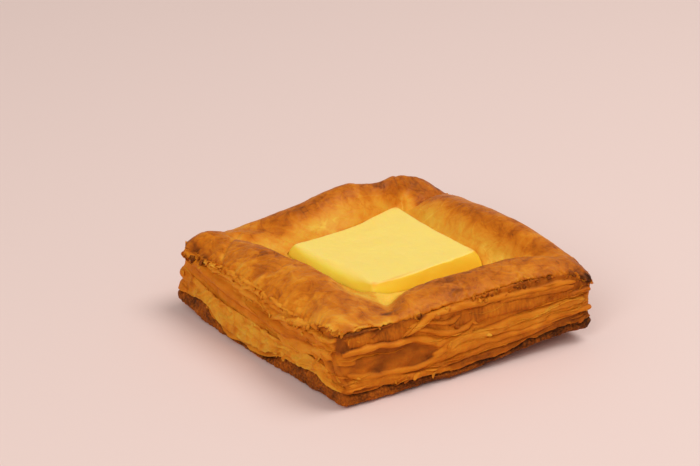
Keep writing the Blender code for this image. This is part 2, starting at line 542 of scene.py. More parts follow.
class Grower(NodeTree):
    """A Geometry Nodes tree that grows a piece from a carrier mesh."""

    def __init__(self, name: str, sizes: dict[str, float]) -> None:
        """Start a tree with a named input for each size and one for the material.

        Args:
            name: name of the tree.
            sizes: amounts of its inputs, by name.
        """
        super().__init__(bpy.data.node_groups.new(name, "GeometryNodeTree"))
        face = self.tree.interface
        face.new_socket("Geometry", in_out="INPUT", socket_type="NodeSocketGeometry")
        face.new_socket("Geometry", in_out="OUTPUT", socket_type="NodeSocketGeometry")
        self.keys = {size: face.new_socket(size, in_out="INPUT", socket_type="NodeSocketFloat")
                     for size in sizes}
        self.keys["Finish"] = face.new_socket("Finish", in_out="INPUT",
                                              socket_type="NodeSocketMaterial")
        self.sizes = sizes
        self.given = self.node("NodeGroupInput").outputs

    def named(self, name: str, kind: str = "FLOAT") -> Socket:
        """A value stored on the carrier."""
        node = self.node("GeometryNodeInputNamedAttribute", {"Name": name}, data_type=kind)
        return node.outputs["Attribute"]

    def scattered(self, chip: bpy.types.Node, upright: str, least: Colour,
                  most: Colour) -> bpy.types.Node:
        """Set a small shape on every point of the carrier, turned at random.

        Args:
            chip: the shape.
            upright: its axis that follows the carrier's "facing".
            least: smallest turns about its own axes, in radians.
            most: largest turns about them.

        Returns:
            The scattered shapes.
        """
        face = self.node("FunctionNodeAlignRotationToVector",
                         {"Vector": self.named("facing", "FLOAT_VECTOR")}, axis=upright)
        spin = self.node("FunctionNodeRandomValue", {"Min": least, "Max": most,
                                                     "Seed": self.given["Seed"]},
                         data_type="FLOAT_VECTOR")
        turned = self.node("FunctionNodeRotateRotation", {"Rotation": face, "Rotate By": spin},
                           rotation_space="LOCAL")
        return self.node("GeometryNodeInstanceOnPoints",
                         {"Points": self.given["Geometry"], "Instance": chip,
                          "Rotation": turned, "Scale": self.named("size")})

    def crumpled(self, geometry: bpy.types.Node, size: Any, depth: Any) -> bpy.types.Node:
        """Push a mesh's points about by smooth noise.

        Args:
            geometry: the mesh.
            size: how many bumps there are to a metre.
            depth: how far the points move, in metres.

        Returns:
            The crumpled mesh.
        """
        noise = self.node("ShaderNodeTexNoise", {"Scale": size, "Detail": 2.0})
        centred = self.node("ShaderNodeVectorMath",
                            {0: noise.outputs["Color"], 1: (0.5, 0.5, 0.5)}, operation="SUBTRACT")
        pushed = self.node("ShaderNodeVectorMath", {0: centred, "Scale": depth}, operation="SCALE")
        return self.node("GeometryNodeSetPosition", {"Geometry": geometry, "Offset": pushed})

    def grow(self, carrier: Object, geometry: bpy.types.Node,
             finish: Material) -> Object:
        """Close the tree, run it on a carrier and keep the result as a plain mesh.

        Args:
            carrier: object whose mesh the tree starts from.
            geometry: the tree's last geometry.
            finish: the material that it sets.

        Returns:
            The carrier, now holding the grown mesh.
        """
        smooth = self.node("GeometryNodeSetShadeSmooth", {"Geometry": geometry})
        real = self.node("GeometryNodeRealizeInstances", {0: smooth})
        dressed = self.node("GeometryNodeSetMaterial",
                            {"Geometry": real, "Material": self.given["Finish"]})
        self.node("NodeGroupOutput", {0: dressed})
        modifier = carrier.modifiers.new(self.tree.name, "NODES")
        modifier.node_group = self.tree
        for size, amount in self.sizes.items():
            modifier[self.keys[size].identifier] = amount
        modifier[self.keys["Finish"].identifier] = finish
        bpy.context.view_layer.update()
        grown = carrier.evaluated_get(bpy.context.evaluated_depsgraph_get())
        mesh = bpy.data.meshes.new_from_object(grown)
        carrier.modifiers.clear()
        carrier.data = mesh
        return carrier


# ---- Finishes ----

BAKE_STOPS: tuple[tuple[float, Colour], ...] = (
    (0.00, (0.86, 0.53, 0.065)),
    (0.15, (0.775, 0.378, 0.033)),
    (0.32, (0.75, 0.282, 0.020)),
    (0.50, (0.645, 0.189, 0.008)),
    (0.66, (0.485, 0.119, 0.005)),
    (0.80, (0.27, 0.062, 0.004)),
    (0.91, (0.12, 0.028, 0.002)),
    (1.00, (0.05, 0.012, 0.002)),
)
DOUGH_GLOW: Colour = (1.0, 0.35, 0.10)


@dataclass(frozen=True)
class CrustFinish:
    """Egg-washed top sheet: golden to orange-brown by its bake, satin on the crests."""

    name: str = "egg_washed_crust"
    roughness: float = 0.42
    coat: float = 0.02
    clouds: float = 0.17     # how strongly each kind of mark shows in the bake
    glaze: float = 0.12
    marks: float = 0.07
    wisps: float = 0.06
    lighter: float = 0.03    # how much lighter the whole sheet is than its stored bake
    relief: float = 0.34     # depth of the skin's relief, in mm

    def build(self) -> Material:
        """Make the material.

        Returns:
            The material.
        """
        shade = Shade(self.name)
        bake = shade.attribute("bake")
        cloud = shade.noise(6.0, 3.0, warp=1.2) - 0.5
        speck = shade.noise(1.6, 2.0, warp=0.6) - 0.5
        wisp = shade.noise(16.0, 1.0, warp=1.6).ridge()
        smear = shade.noise(13.0, 2.0, (1.0, 1.0, 1.6), 1.2).ridge()
        fleck = shade.noise(3.0, 3.0, warp=1.6).between(0.54, 0.68)
        glaze = shade.noise(11.0, 3.0, warp=2.0).between(0.51, 0.60) * bake
        tone = bake + cloud * self.clouds + glaze * self.glaze + (speck + fleck + smear) * self.marks
        colour = shade.ramp((tone - wisp * self.wisps - self.lighter).limited(), BAKE_STOPS)
        fine = shade.noise(0.7, 2.0)
        skin = shade.noise(3.4, 2.0, warp=1.0) + shade.noise(1.5, 2.0, warp=1.0) * 0.4
        normal = shade.bump(fine, 0.05, shade.bump(skin + wisp * 0.2, self.relief))
        return shade.finish(
            Base_Color=colour, Roughness=(fine - 0.5) * 0.3 + self.roughness, Normal=normal,
            Coat_Weight=self.coat, Coat_Roughness=0.35, Specular_IOR_Level=0.08,
            Subsurface_Weight=0.22, Subsurface_Radius=DOUGH_GLOW, Subsurface_Scale=0.0016)


@dataclass(frozen=True)
class LeafFinish:
    """Baked leaves of dough at the sides: matt, streaked along, combed upright in places."""

    name: str = "baked_leaves"
    roughness: float = 0.60
    clouds: float = 0.23     # how strongly each kind of mark shows in the bake
    streaks: float = 0.07
    combing: float = 0.34
    pits: float = 0.42
    relief: float = 0.30     # depth of the relief, in mm

    def build(self) -> Material:
        """Make the material.

        Returns:
            The material.
        """
        shade = Shade(self.name)
        bake = shade.attribute("bake")
        comb = shade.attribute("comb")
        porous = shade.attribute("porous")
        along = shade.noise(4.0, 4.0, (0.4, 0.4, 4.0), 0.4) - 0.5
        upright = shade.noise(1.1, 3.0, (1.3, 1.3, 0.25)) - 0.5
        cloud = shade.noise(5.0, 4.0, warp=0.6) - 0.5
        pit = shade.noise(0.8, 4.0) - 0.5
        combed, pitted = upright * comb, pit * porous
        tone = bake + cloud * self.clouds + along * self.streaks
        tone = tone + combed * self.combing + pitted * self.pits
        colour = shade.ramp(tone.limited(), BAKE_STOPS)
        relief = along * 0.15 + combed * 0.8 + pitted * 0.9 + shade.noise(0.8, 3.0) * 0.3
        return shade.finish(
            Base_Color=colour, Roughness=pit * 0.3 + self.roughness,
            Normal=shade.bump(relief, self.relief), Specular_IOR_Level=0.09, Subsurface_Weight=0.25,
            Subsurface_Radius=DOUGH_GLOW, Subsurface_Scale=0.0016)


@dataclass(frozen=True)
class CustardFinish:
    """Set custard: pale and satin on top, deeper yellow down its sides, toasted in spots."""

    name: str = "set_custard"
    top: Colour = (1.0, 0.72, 0.155)
    side: Colour = (0.94, 0.61, 0.035)
    # painted light: a brighter yellow for the left flank, which the lamps barely reach
    shaded: Colour = (1.0, 0.83, 0.085)
    toast: Colour = (0.90, 0.30, 0.01)

    def build(self) -> Material:
        """Make the material.

        Returns:
            The material.
        """
        shade = Shade(self.name)
        flank = shade.attribute("flank")
        toasted = shade.attribute("toasted")
        cloud = shade.noise(9.0, 3.0) - 0.5
        side = (flank + cloud * 0.25).between(0.1, 0.9)
        # the left flank gets painted light, the brighter yellow
        flank_colour = shade.blend(shade.attribute("shaded").limited(), self.side, self.shaded)
        colour = shade.blend(side, self.top, flank_colour)
        colour = shade.blend(toasted.limited(), colour, self.toast)
        fine = shade.noise(1.5, 3.0)
        normal = shade.bump(fine, 0.05, shade.bump(shade.noise(8.0, 2.0), 0.3))
        return shade.finish(
            Base_Color=colour, Roughness=(fine - 0.5) * 0.2 + 0.45, Normal=normal,
            Specular_IOR_Level=0.30, Subsurface_Weight=0.4,
            Subsurface_Radius=(1.0, 0.6, 0.12), Subsurface_Scale=0.004)


# ---- The dough's form ----

@dataclass
class DoughForm:
    """Plan and heights that the dough's pieces share."""

    base_corners: Corners = ((-50.3, -53.2), (48.4, -52.2), (51.0, 49.0), (-54.4, 48.6))
    top_corners: Corners = ((-50.6, -50.2), (50.0, -51.4), (52.2, 48.2), (-51.0, 49.4))
    corner_softness: float = 0.028
    base_softness: float = 0.014
    height_softness: float = 0.04
    base_lift: Keys = keyed({
        0: 0.9, 0.5: 1.2, 0.8: 4.7, 1: 4.9, 1.4: 1.6, 2: 3.4, 2.5: 0.6, 2.9: 2.8, 3: 3.4, 3.2: 0.2,
        3.5: 0})
    sheet_edge: Keys = keyed({
        0: 25.4, 0.3: 25, 0.7: 28, 0.9: 26.4, 0.97: 22.6, 1: 19.8, 1.03: 21.6, 1.1: 24.6, 1.5: 25.5,
        2: 22, 2.5: 25, 3: 22.6, 3.1: 22, 3.18: 21.8, 3.25: 23.3, 3.33: 24, 3.47: 24.2, 3.56: 23.4,
        3.63: 23.5, 3.71: 22.8, 3.77: 22, 3.82: 22.8, 3.87: 24.8, 3.93: 26.4})
    rim_crest: Keys = keyed({
        0: 27.7, 0.05: 27, 0.1: 26, 0.15: 25, 0.19: 25.6, 0.24: 28.2, 0.3: 29.4, 0.6: 29.8, 0.85: 30.2,
        0.95: 29, 1: 28, 1.08: 29.2, 1.18: 31.6, 1.32: 33.8, 1.5: 32.8, 1.75: 29.6, 1.9: 27.2, 2: 27.8,
        2.13: 34.6, 2.25: 34, 2.4: 35.3, 2.58: 32, 2.77: 28.2, 2.84: 25.8, 2.94: 26.8, 3: 26.6,
        3.08: 27.4, 3.3: 29.6, 3.6: 30.4, 3.85: 28.9, 3.94: 28.2})
    crest_place: Keys = keyed({
        0: 0.42, 0.2: 0.4, 0.5: 0.36, 0.9: 0.34, 1: 0.4, 1.5: 0.55, 2: 0.52, 2.5: 0.46, 3: 0.36,
        3.5: 0.55})
    well_lip: Keys = keyed({
        0: 23.3, 0.06: 22.2, 0.15: 21, 0.5: 19.8, 0.9: 18.6, 1: 19.4, 1.1: 21.4, 1.25: 23.4, 2: 24.2,
        2.8: 24, 2.95: 22.4, 3.05: 21, 3.2: 20.6, 3.5: 20.4, 3.85: 21, 3.94: 22.3})
    custard_corners: Corners = ((-18.5, -21.3), (26.0, -16.4), (25.9, 32.6), (-22.3, 23.1))
    custard_top: float = 25.0
    custard_flare: float = 2.6
    custard_hollow: Sequence[float] = (-1.3, 0.9, 2.6, 0.0)    # of each side, from the near one
    custard_softness: float = 0.032
    flare_curve: float = 3.0
    well_turn: float = 8.0
    well_floor: float = 14.0
    outer_fullness: float = 0.72
    inner_fullness: float = 0.85
    inner_sag: Keys = keyed({
        0: 0.7, 0.15: 0.9, 0.9: 0.9, 1.15: 0.5, 2: 0.35, 2.8: 0.4, 3.1: 0.8, 3.85: 0.8})

    def base(self, places: Array) -> Array:
        """Outline of the underside."""
        return outline(self.base_corners, places, self.base_softness)

    def away(self, places: Array) -> Array:
        """Directions that point out of the pastry.

        Args:
            places: places, in sides.

        Returns:
            Unit directions in plan.
        """
        step = 0.02
        along = self.base(places + step) - self.base(places - step)
        normal = np.stack([along[..., 1], -along[..., 0]], axis=-1)
        return normal / np.linalg.norm(normal, axis=-1, keepdims=True)

    def top(self, places: Array) -> Array:
        """Outline of the top sheet."""
        return outline(self.top_corners, places, self.corner_softness)

    def heights(self, keys: Keys, places: Array) -> Array:
        """Heights round the square."""
        return by_place(keys, places, self.height_softness)

    def well(self, height: Array, places: Array, clearance: float) -> Array:
        """Outline of the custard, widened by a clearance.

        Args:
            height: height at each place, in mm.
            places: places, in sides.
            clearance: how far outside the custard the outline runs, in mm.

        Returns:
            Points in plan.
        """
        level = np.clip((height - self.well_floor) / (self.custard_top - self.well_floor), 0.0, 1.0)
        reach = self.custard_flare * (1.0 - level ** self.flare_curve) + clearance
        places = np.asarray(places) % SIDES
        hollow = np.array(self.custard_hollow)[places.astype(int)] * np.sin(math.pi * (places % 1.0))
        reach = reach - hollow * level ** 2
        turn = math.radians(self.well_turn)
        along = np.array((math.cos(turn), math.sin(turn)))
        back = np.array((-math.sin(turn), math.cos(turn)))
        signs = ((-1, -1), (1, -1), (1, 1), (-1, 1))
        middle = outline(self.custard_corners, places, self.custard_softness)
        leans = [right * along + far * back for right, far in signs]
        lean = outline(leans, places, self.custard_softness)
        return middle + lean * np.asarray(reach)[..., None]


@dataclass
class Spot:
    """A place on the top where the bake differs: its middle, reach and strength."""

    x: float
    y: float
    reach: float
    strength: float
    lengthened: float = 1.0
    turn: float = 0.0

    def over(self, x: Array, y: Array) -> Array:
        """The spot's effect.

        Args:
            x: places in plan, to the right.
            y: places in plan, to the back.

        Returns:
            Its strength there.
        """
        angle = math.radians(self.turn)
        along = (x - self.x) * math.cos(angle) + (y - self.y) * math.sin(angle)
        across = -(x - self.x) * math.sin(angle) + (y - self.y) * math.cos(angle)
        return self.strength * np.exp(-(along / (self.reach * self.lengthened)) ** 2
                                      - (across / self.reach) ** 2)


@dataclass
class Crease:
    """A pinched line in the top sheet: its route in plan, its width and depth."""

    route: Sequence[tuple[float, float]]
    width: float
    depth: float

    def over(self, x: Array, y: Array) -> Array:
        """Depth of the crease.

        Args:
            x: places in plan, to the right.
            y: places in plan, to the back.

        Returns:
            Its depth there, in mm.
        """
        nearest = np.full(x.shape, 1e9)
        for (ax, ay), (bx, by) in zip(self.route, self.route[1:]):
            length = (bx - ax) ** 2 + (by - ay) ** 2
            share = np.clip(((x - ax) * (bx - ax) + (y - ay) * (by - ay)) / length, 0.0, 1.0)
            distance = np.hypot(x - ax - share * (bx - ax), y - ay - share * (by - ay))
            nearest = np.minimum(nearest, distance)
        return self.depth * bell(nearest, self.width)


# ---- Top sheet ----

@dataclass
class TopSheet:
    """The egg-washed sheet: swollen rims, inner slopes and the torn edge that hangs over."""

    form: DoughForm
    per_side: int = 240
    rim_rows: int = 76
    thickness: float = 0.7
    tuck: float = 4.5
    gap: float = 0.25           # between the well's wall and the custard
    hidden_foot: float = 17.0   # height of the well's foot, under the custard's top
    mellow: float = 0.58        # bake above which marks are held back
    held: float = 0.45
    strong: float = 0.25        # spots of this strength or more are never held back
    ragged: Keys = keyed({
        0: 1.3, 0.15: 1.3, 0.3: 0.7, 0.45: 0.9, 0.8: 1.3, 0.97: 1.4, 1.05: 0.6, 1.5: 0.6, 2.5: 0.7,
        3: 0.6, 3.1: 1.1, 3.85: 1.4})
    inset: Keys = keyed({
        0: 0, 0.2: 0, 0.4: 0.8, 0.9: 0.6, 0.97: -0.2, 1: -1.7, 1.03: -0.2, 2.97: 0, 3: -0.8, 3.05: 0.2,
        3.2: 0.6, 3.8: 0.6, 3.95: 0})
    inset_rise: float = -0.35
    scorched: Keys = keyed({
        0: -0.28, 0.2: -0.3, 0.35: -0.16, 0.5: -0.08, 0.65: 0.02, 0.8: 0.16, 0.97: 0.24, 1.03: 0.24,
        1.15: 0, 1.9: 0.05, 2: 0.2, 2.1: 0.05, 2.9: 0.1, 3: 0.26, 3.12: 0.24, 3.22: 0.14, 3.32: 0.04,
        3.5: 0.04, 3.8: 0, 3.95: -0.16})
    wrinkled: Keys = keyed({
        0: 0.8, 0.5: 0.9, 0.9: 0.6, 1.2: 0.3, 1.8: 0.3, 2.1: 0.6, 2.5: 0.4, 2.9: 0.3, 3.1: 0.8, 3.4: 1.1,
        3.8: 1.1})
    creases: tuple[Crease, ...] = (
        Crease(((-16.0, -26.0), (-21.0, -33.5), (-25.5, -42.0)), 2.8, 1.3),
        Crease(((-34.5, 40.0), (-42.7, 32.2), (-49.5, 26.0)), 0.9, 0.9),
        Crease(((31.5, 39.0), (30.0, 34.2), (27.2, 31.2), (26.1, 30.1)), 0.9, 1.3),
        Crease(((34.0, 48.0), (31.5, 39.0)), 0.9, 0.3),
        Crease(((27.0, 31.5), (38.0, 30.0), (52.0, 35.0)), 2.6, 3.0),
        Crease(((31.0, -19.0), (38.0, -33.0), (41.0, -41.0)), 2.4, 0.8),
        Crease(((-27.0, 22.0), (-33.0, 30.0), (-38.0, 41.0)), 2.2, 0.8),
    )
    swells: tuple[Spot, ...] = (
        Spot(33, 19, 8, 1.8), Spot(44, 42, 6, 1.6), Spot(-46, 43.5, 5.5, 1.8), Spot(24, 43, 8, -1.6),
        Spot(43, -43, 6, 0.8), Spot(-37, -38, 7, -0.6),
    )
    spots: tuple[Spot, ...] = (
        Spot(50, 44, 7, 0.3), Spot(38, 38, 4, 0.22), Spot(50.5, -50, 6, 0.28), Spot(-51, 48.5, 3, 0.34),
        Spot(-27.5, -44.5, 3, 0.3), Spot(-40, 16, 6, 0.18), Spot(-12, -33, 5, 0.12),
        Spot(8, -38, 9, 0.09, 1.8), Spot(46, -10, 10, 0.12), Spot(44, -42, 9, 0.12),
        Spot(-46, 44, 8, 0.06), Spot(5, 41, 8, 0.12, 2), Spot(24, 38, 4.5, 0.19),
        Spot(-14, 39, 4, 0.14, 1.8), Spot(38, 4, 6, 0.1, 2, 90), Spot(-44, -43, 8, -0.1),
        Spot(-17, -27, 4.4, -0.45, 1.5, 60), Spot(28, -38, 8, -0.06), Spot(-36, 33, 7, -0.1),
        Spot(-40, 13, 3.5, 0.14), Spot(-31.5, 16.5, 4.5, 0.14, 1.6, 70), Spot(-47, 5, 3, 0.16),
        Spot(-48, -2, 2.4, 0.14, 2, 90), Spot(-44, -9, 2.5, 0.12), Spot(-8, -46, 6, 0.14, 1.5),
        Spot(8, -46, 6, 0.06, 1.4), Spot(38, -12, 7, -0.08), Spot(30, 46, 9, 0.18, 1.6),
        Spot(-2, -40, 8, 0.07, 1.5), Spot(-40, 4, 12, -0.06, 1.4, 90), Spot(48, 6, 11, -0.05, 1.3, 90),
        Spot(-32, -38, 9, 0.04), Spot(36, 30, 3, 0.14, 2, 60),
    )

    def build(self) -> Object:
        """Make the sheet as one closed ring of dough.

        Returns:
            The sheet.
        """
        places = np.arange(self.per_side * 4) / self.per_side
        rim = self._rim(places)
        patch = self._under(places, rim).joined(rim).joined(self._wall(places, rim))
        sheet = MeshMaker.loft("top_sheet", patch, ring=True)
        sheet.data.materials.append(CrustFinish().build())
        return sheet

    def edge(self, places: Array, torn: float = 1.0) -> Array:
        """Outer edge of the sheet.

        Args:
            places: places, in sides.
            torn: how torn it is, from 0, smooth, to 1.

        Returns:
            Points in space.
        """
        form, grain = self.form, Grain(Seed.TORN_EDGE)
        ragged = torn * by_place(self.ragged, places, 0.03)
        fray = (0.6 * grain.streaks(places, 0.0, 6.0, 1.0, 2)
                + 0.55 * grain.streaks(places, 9.0, 1.7, 1.0, 2)
                + 0.5 * ridges(grain.streaks(places, 4.0, 3.0, 1.0)))
        inset = by_place(self.inset, places, 0.04)
        out = ragged * (fray - 0.1) - inset
        plan = form.top(places) + form.away(places) * out[:, None]
        height = form.heights(form.sheet_edge, places) + self.inset_rise * inset
        height = height + 0.5 * ragged * grain.streaks(places, 5.0, 5.0, 1.0, 2)
        return np.column_stack([plan, height])

    def _rim(self, places: Array) -> Patch:
        """The visible sheet from its outer edge to the well's lip.

        Args:
            places: places, in sides.

        Returns:
            Points in space with their bake.
        """
        form, grain = self.form, Grain(Seed.SKIN)
        share = (np.linspace(0.0, 1.0, self.rim_rows) ** 1.2)[None, :]
        even = self.edge(places, 0.0)
        tear = (self.edge(places) - even)[:, None, :] * (1.0 - ease(0.0, 0.12, share))[..., None]
        edge = even[:, None, :] + tear
        lip_height = form.heights(form.well_lip, places)
        lip = form.well(lip_height, places, self.gap)
        plan = edge[..., :2] * (1.0 - share[..., None]) + lip[:, None, :] * share[..., None]
        flat = np.concatenate([plan, np.zeros_like(plan[..., :1])], axis=-1)
        span = np.linalg.norm(lip - even[:, :2], axis=1)[:, None] * share
        crest_place = form.heights(form.crest_place, places)[:, None]
        crest_place = crest_place + 0.06 * grain.streaks(places[:, None], 3.0, 16.0, 1.0)
        swell, fall, inner = self._section(places, share, crest_place)
        crest, foot, lip_height = (form.heights(form.rim_crest, places)[:, None], edge[..., 2],
                                   lip_height[:, None])
        height = np.where(share < crest_place, foot + (crest - foot) * swell,
                          lip_height + (crest - lip_height) * fall)
        relief, marks = self._skin(places, flat, span, share)
        pinched = np.zeros_like(height)
        for crease in self.creases:
            depth = crease.over(plan[..., 0], plan[..., 1])
            pinched = np.maximum(pinched, depth / crease.depth)
            relief = relief - depth
        height = height + ease(0.0, 0.08, share) * (1.0 - ease(0.86, 1.0, share)) * relief
        bake = 0.50 + 0.10 * (swell * fall) ** 2 + marks - 0.10 * pinched
        bake = bake - 0.27 * ease(0.40, 0.85, share) * ease(0.1, 0.65, inner)
        torn = bell(share * span.max(), 1.8) * ease(-0.4, 0.3, grain.lumps(flat + 11.0, 6.0))
        bake = self._spotted(bake, plan) + torn * by_place(self.scorched, places)[:, None]
        return Patch(np.concatenate([plan, height[..., None]], axis=-1), {"bake": bake})

    def _section(self, places: Array, share: Array,
                 crest_place: Array) -> tuple[Array, Array, Array]:
        """Cross-section of the rims.

        Args:
            places: places, in sides.
            share: place across the rim, 0 at the outer edge and 1 at the well's lip.
            crest_place: the crest's place across the rim.

        Returns:
            The rise to the crest, the fall from it, both 1 on the crest, and the place on the
            inner slope, 0 at the crest and 1 at the lip.
        """
        outer = np.clip(share / crest_place, 0.0, 1.0)
        inner = np.clip((share - crest_place) / (1.0 - crest_place), 0.0, 1.0)
        sag = by_place(self.form.inner_sag, places)[:, None]
        swell = np.sin(0.5 * math.pi * outer) ** self.form.outer_fullness
        fall = ((1.0 - sag) * np.cos(0.5 * math.pi * inner) ** self.form.inner_fullness
                + sag * (0.5 + 0.5 * np.cos(math.pi * inner)))
        return swell, fall, inner

    def _skin(self, places: Array, flat: Array, span: Array,
              share: Array) -> tuple[Array, Array]:
        """Lumps, ripples, blisters and crimps of the skin.

        Args:
            places: places, in sides.
            flat: places in plan, with z at 0.
            span: distance in from the outer edge, in mm.
            share: the same distance as a share of the rim.

        Returns:
            How far the skin stands up, in mm, and how much darker it is.
        """
        grain, fold = Grain(Seed.SKIN), Grain(Seed.RIPPLES)
        amount = by_place(self.wrinkled, places)[:, None]
        warp = np.stack([grain.lumps(flat + 7.0, 9.0, 2), grain.lumps(flat + 47.0, 9.0, 2),
                         np.zeros_like(span)], axis=-1)
        bent = flat + 2.2 * warp
        lumps = 0.50 * grain.lumps(flat, 22.0) + 0.45 * grain.lumps(flat + 50.0, 9.0)
        ripple = ridges(fold.streaks(places[:, None] + 0.06 * warp[..., 0],
                                     span + 4.0 * warp[..., 1], 15.0, 6.0))
        blister = np.clip(grain.lumps(bent + 90.0, 5.0), 0.0, 1.0) ** 1.5
        crimp = ridges(grain.lumps(bent + 120.0, 7.0))
        outer_ripple = ripple * (1.0 - ease(0.3, 0.6, share))
        wrinkles = 0.26 * outer_ripple + 0.60 * blister - 0.26 * crimp - 0.1
        relief = (lumps * (0.6 + 0.4 * amount) + amount * wrinkles
                  + 0.10 * grain.lumps(flat + 90.0, 2.6, 2))
        for swelling in self.swells:
            relief = relief + swelling.over(flat[..., 0], flat[..., 1])
        marks = 0.14 * grain.lumps(flat + 31.0, 14.0, 2) + 0.13 * grain.lumps(bent + 61.0, 6.0, 2)
        return relief, marks + amount * (0.08 * crimp - 0.12 * ripple + 0.02)

    def _spotted(self, bake: Array, plan: Array) -> Array:
        """Bake with its spots: the faint ones are held back where it is dark already.

        Args:
            bake: bake without the spots.
            plan: places in plan.

        Returns:
            The bake with them.
        """
        x, y = plan[..., 0], plan[..., 1]
        for spot in self.spots:
            if spot.strength < self.strong:
                bake = bake + spot.over(x, y)
        held_back = self.mellow + self.held * (bake - self.mellow)
        bake = np.where(bake > self.mellow, held_back, bake)
        for spot in self.spots:
            if spot.strength >= self.strong:
                bake = bake + spot.over(x, y)
        return bake

    def _under(self, places: Array, rim: Patch) -> Patch:
        """Hidden rows from the well's foot, below the rim, out to the underside of the edge.

        Args:
            places: places, in sides.
            rim: the visible sheet.

        Returns:
            The hidden rows.
        """
        edge = rim.points[:, 0]
        away = np.concatenate([self.form.away(places), np.zeros((len(places), 1))], axis=1)
        level = np.full(len(places), self.hidden_foot)
        foot = self.form.well(level, places, self.gap + 0.35)
        foot = np.column_stack([foot, level])
        up = np.array((0.0, 0.0, 1.0))
        tucked = edge - away * self.tuck - up * 1.4
        rows = [foot, foot * 0.5 + tucked * 0.5 - up * 0.5, tucked,
                edge - away * self.tuck * 0.5 - up * 1.2, edge - away * 0.6 - up * self.thickness,
                edge - away * 0.12 - up * self.thickness * 0.8, edge + away * 0.02 - up * 0.3]
        # painted shade: the rows under the edge are a shade darker than the rim above
        bake = np.repeat(rim.values["bake"][:, :1], len(rows), axis=1) + 0.03
        return Patch(np.stack(rows, axis=1), {"bake": bake})

    def _wall(self, places: Array, rim: Patch) -> Patch:
        """The well's wall from its lip down.

        Args:
            places: places, in sides.
            rim: the visible sheet.

        Returns:
            The wall's rows.
        """
        lip = rim.points[:, -1]
        rows = []
        for drop in (0.6, 1.6, 3.0):
            height = lip[:, 2] - drop
            plan = self.form.well(height, places, self.gap)
            rows.append(np.column_stack([plan, height]))
        bake = np.repeat(rim.values["bake"][:, -1:], len(rows), axis=1)
        return Patch(np.stack(rows, axis=1), {"bake": bake})


# ---- Layered body ----

@dataclass
class Fold:
    """A rounded fold of dough on the sides, or a hollow where it stands out less than nothing.

    The route is a line of points, in mm round the square from the near corner and up; the width
    is half the fold's thickness.
    """

    route: Sequence[tuple[float, float]]
    width: float
    stand: float
    bake: float
    comb: float = 0.0
    taper: float = 0.22

    def over(self, places: Array,
             height: Array) -> tuple[Array, Array, Array]:
        """Effect of the fold on the sides.

        Args:
            places: places round the square.
            height: heights at those places.

        Returns:
            How far the fold stands out, how much it covers, and how near its border is, 0 to 1.
        """
        middle = self.route[len(self.route) // 2][0]
        along = (places * SIDE_LENGTH - middle + 0.5 * LOOP) % LOOP - 0.5 * LOOP + middle
        route = self._smoothed()
        low, high = route.min(axis=0) - 2.5 * self.width, route.max(axis=0) + 2.5 * self.width
        inside = (along > low[0]) & (along < high[0]) & (height > low[1]) & (height < high[1])
        rise, cover, border = (np.zeros(along.shape) for _ in range(3))
        if not inside.any():
            return rise, cover, border
        x, z = along[inside], height[inside]
        nearest, reached = np.full(x.shape, 1e9), np.zeros(x.shape)
        for number in range(len(route) - 1):
            (ax, az), (bx, bz) = route[number], route[number + 1]
            length = (bx - ax) ** 2 + (bz - az) ** 2
            share = np.clip(((x - ax) * (bx - ax) + (z - az) * (bz - az)) / length, 0.0, 1.0)
            far = np.hypot(x - ax - share * (bx - ax), z - az - share * (bz - az))
            closer = far < nearest
            nearest = np.where(closer, far, nearest)
            reached = np.where(closer, (number + share) / (len(route) - 1), reached)
        slim = np.clip(np.minimum(reached, 1.0 - reached) / self.taper, 0.0, 1.0) ** 0.6
        off = nearest / (self.width * (0.15 + 0.85 * slim))
        rise[inside] = self.stand * slim * np.sqrt(np.clip(1.0 - off ** 2, 0.0, 1.0))
        cover[inside] = (1.0 - ease(0.75, 1.05, off)) * np.minimum(slim * 2.0, 1.0)
        border[inside] = bell(off - 1.1, 0.22) * slim
        return rise, cover, border

    def _smoothed(self) -> Array:
        """The route with rounded bends.

        Returns:
            Its points.
        """
        route = np.array(self.route, float)
        for _ in range(2):
            before, after = route[:-1], route[1:]
            cut = np.stack([0.75 * before + 0.25 * after, 0.25 * before + 0.75 * after], axis=1)
            route = np.concatenate([route[:1], cut.reshape(-1, 2), route[-1:]])
        return route
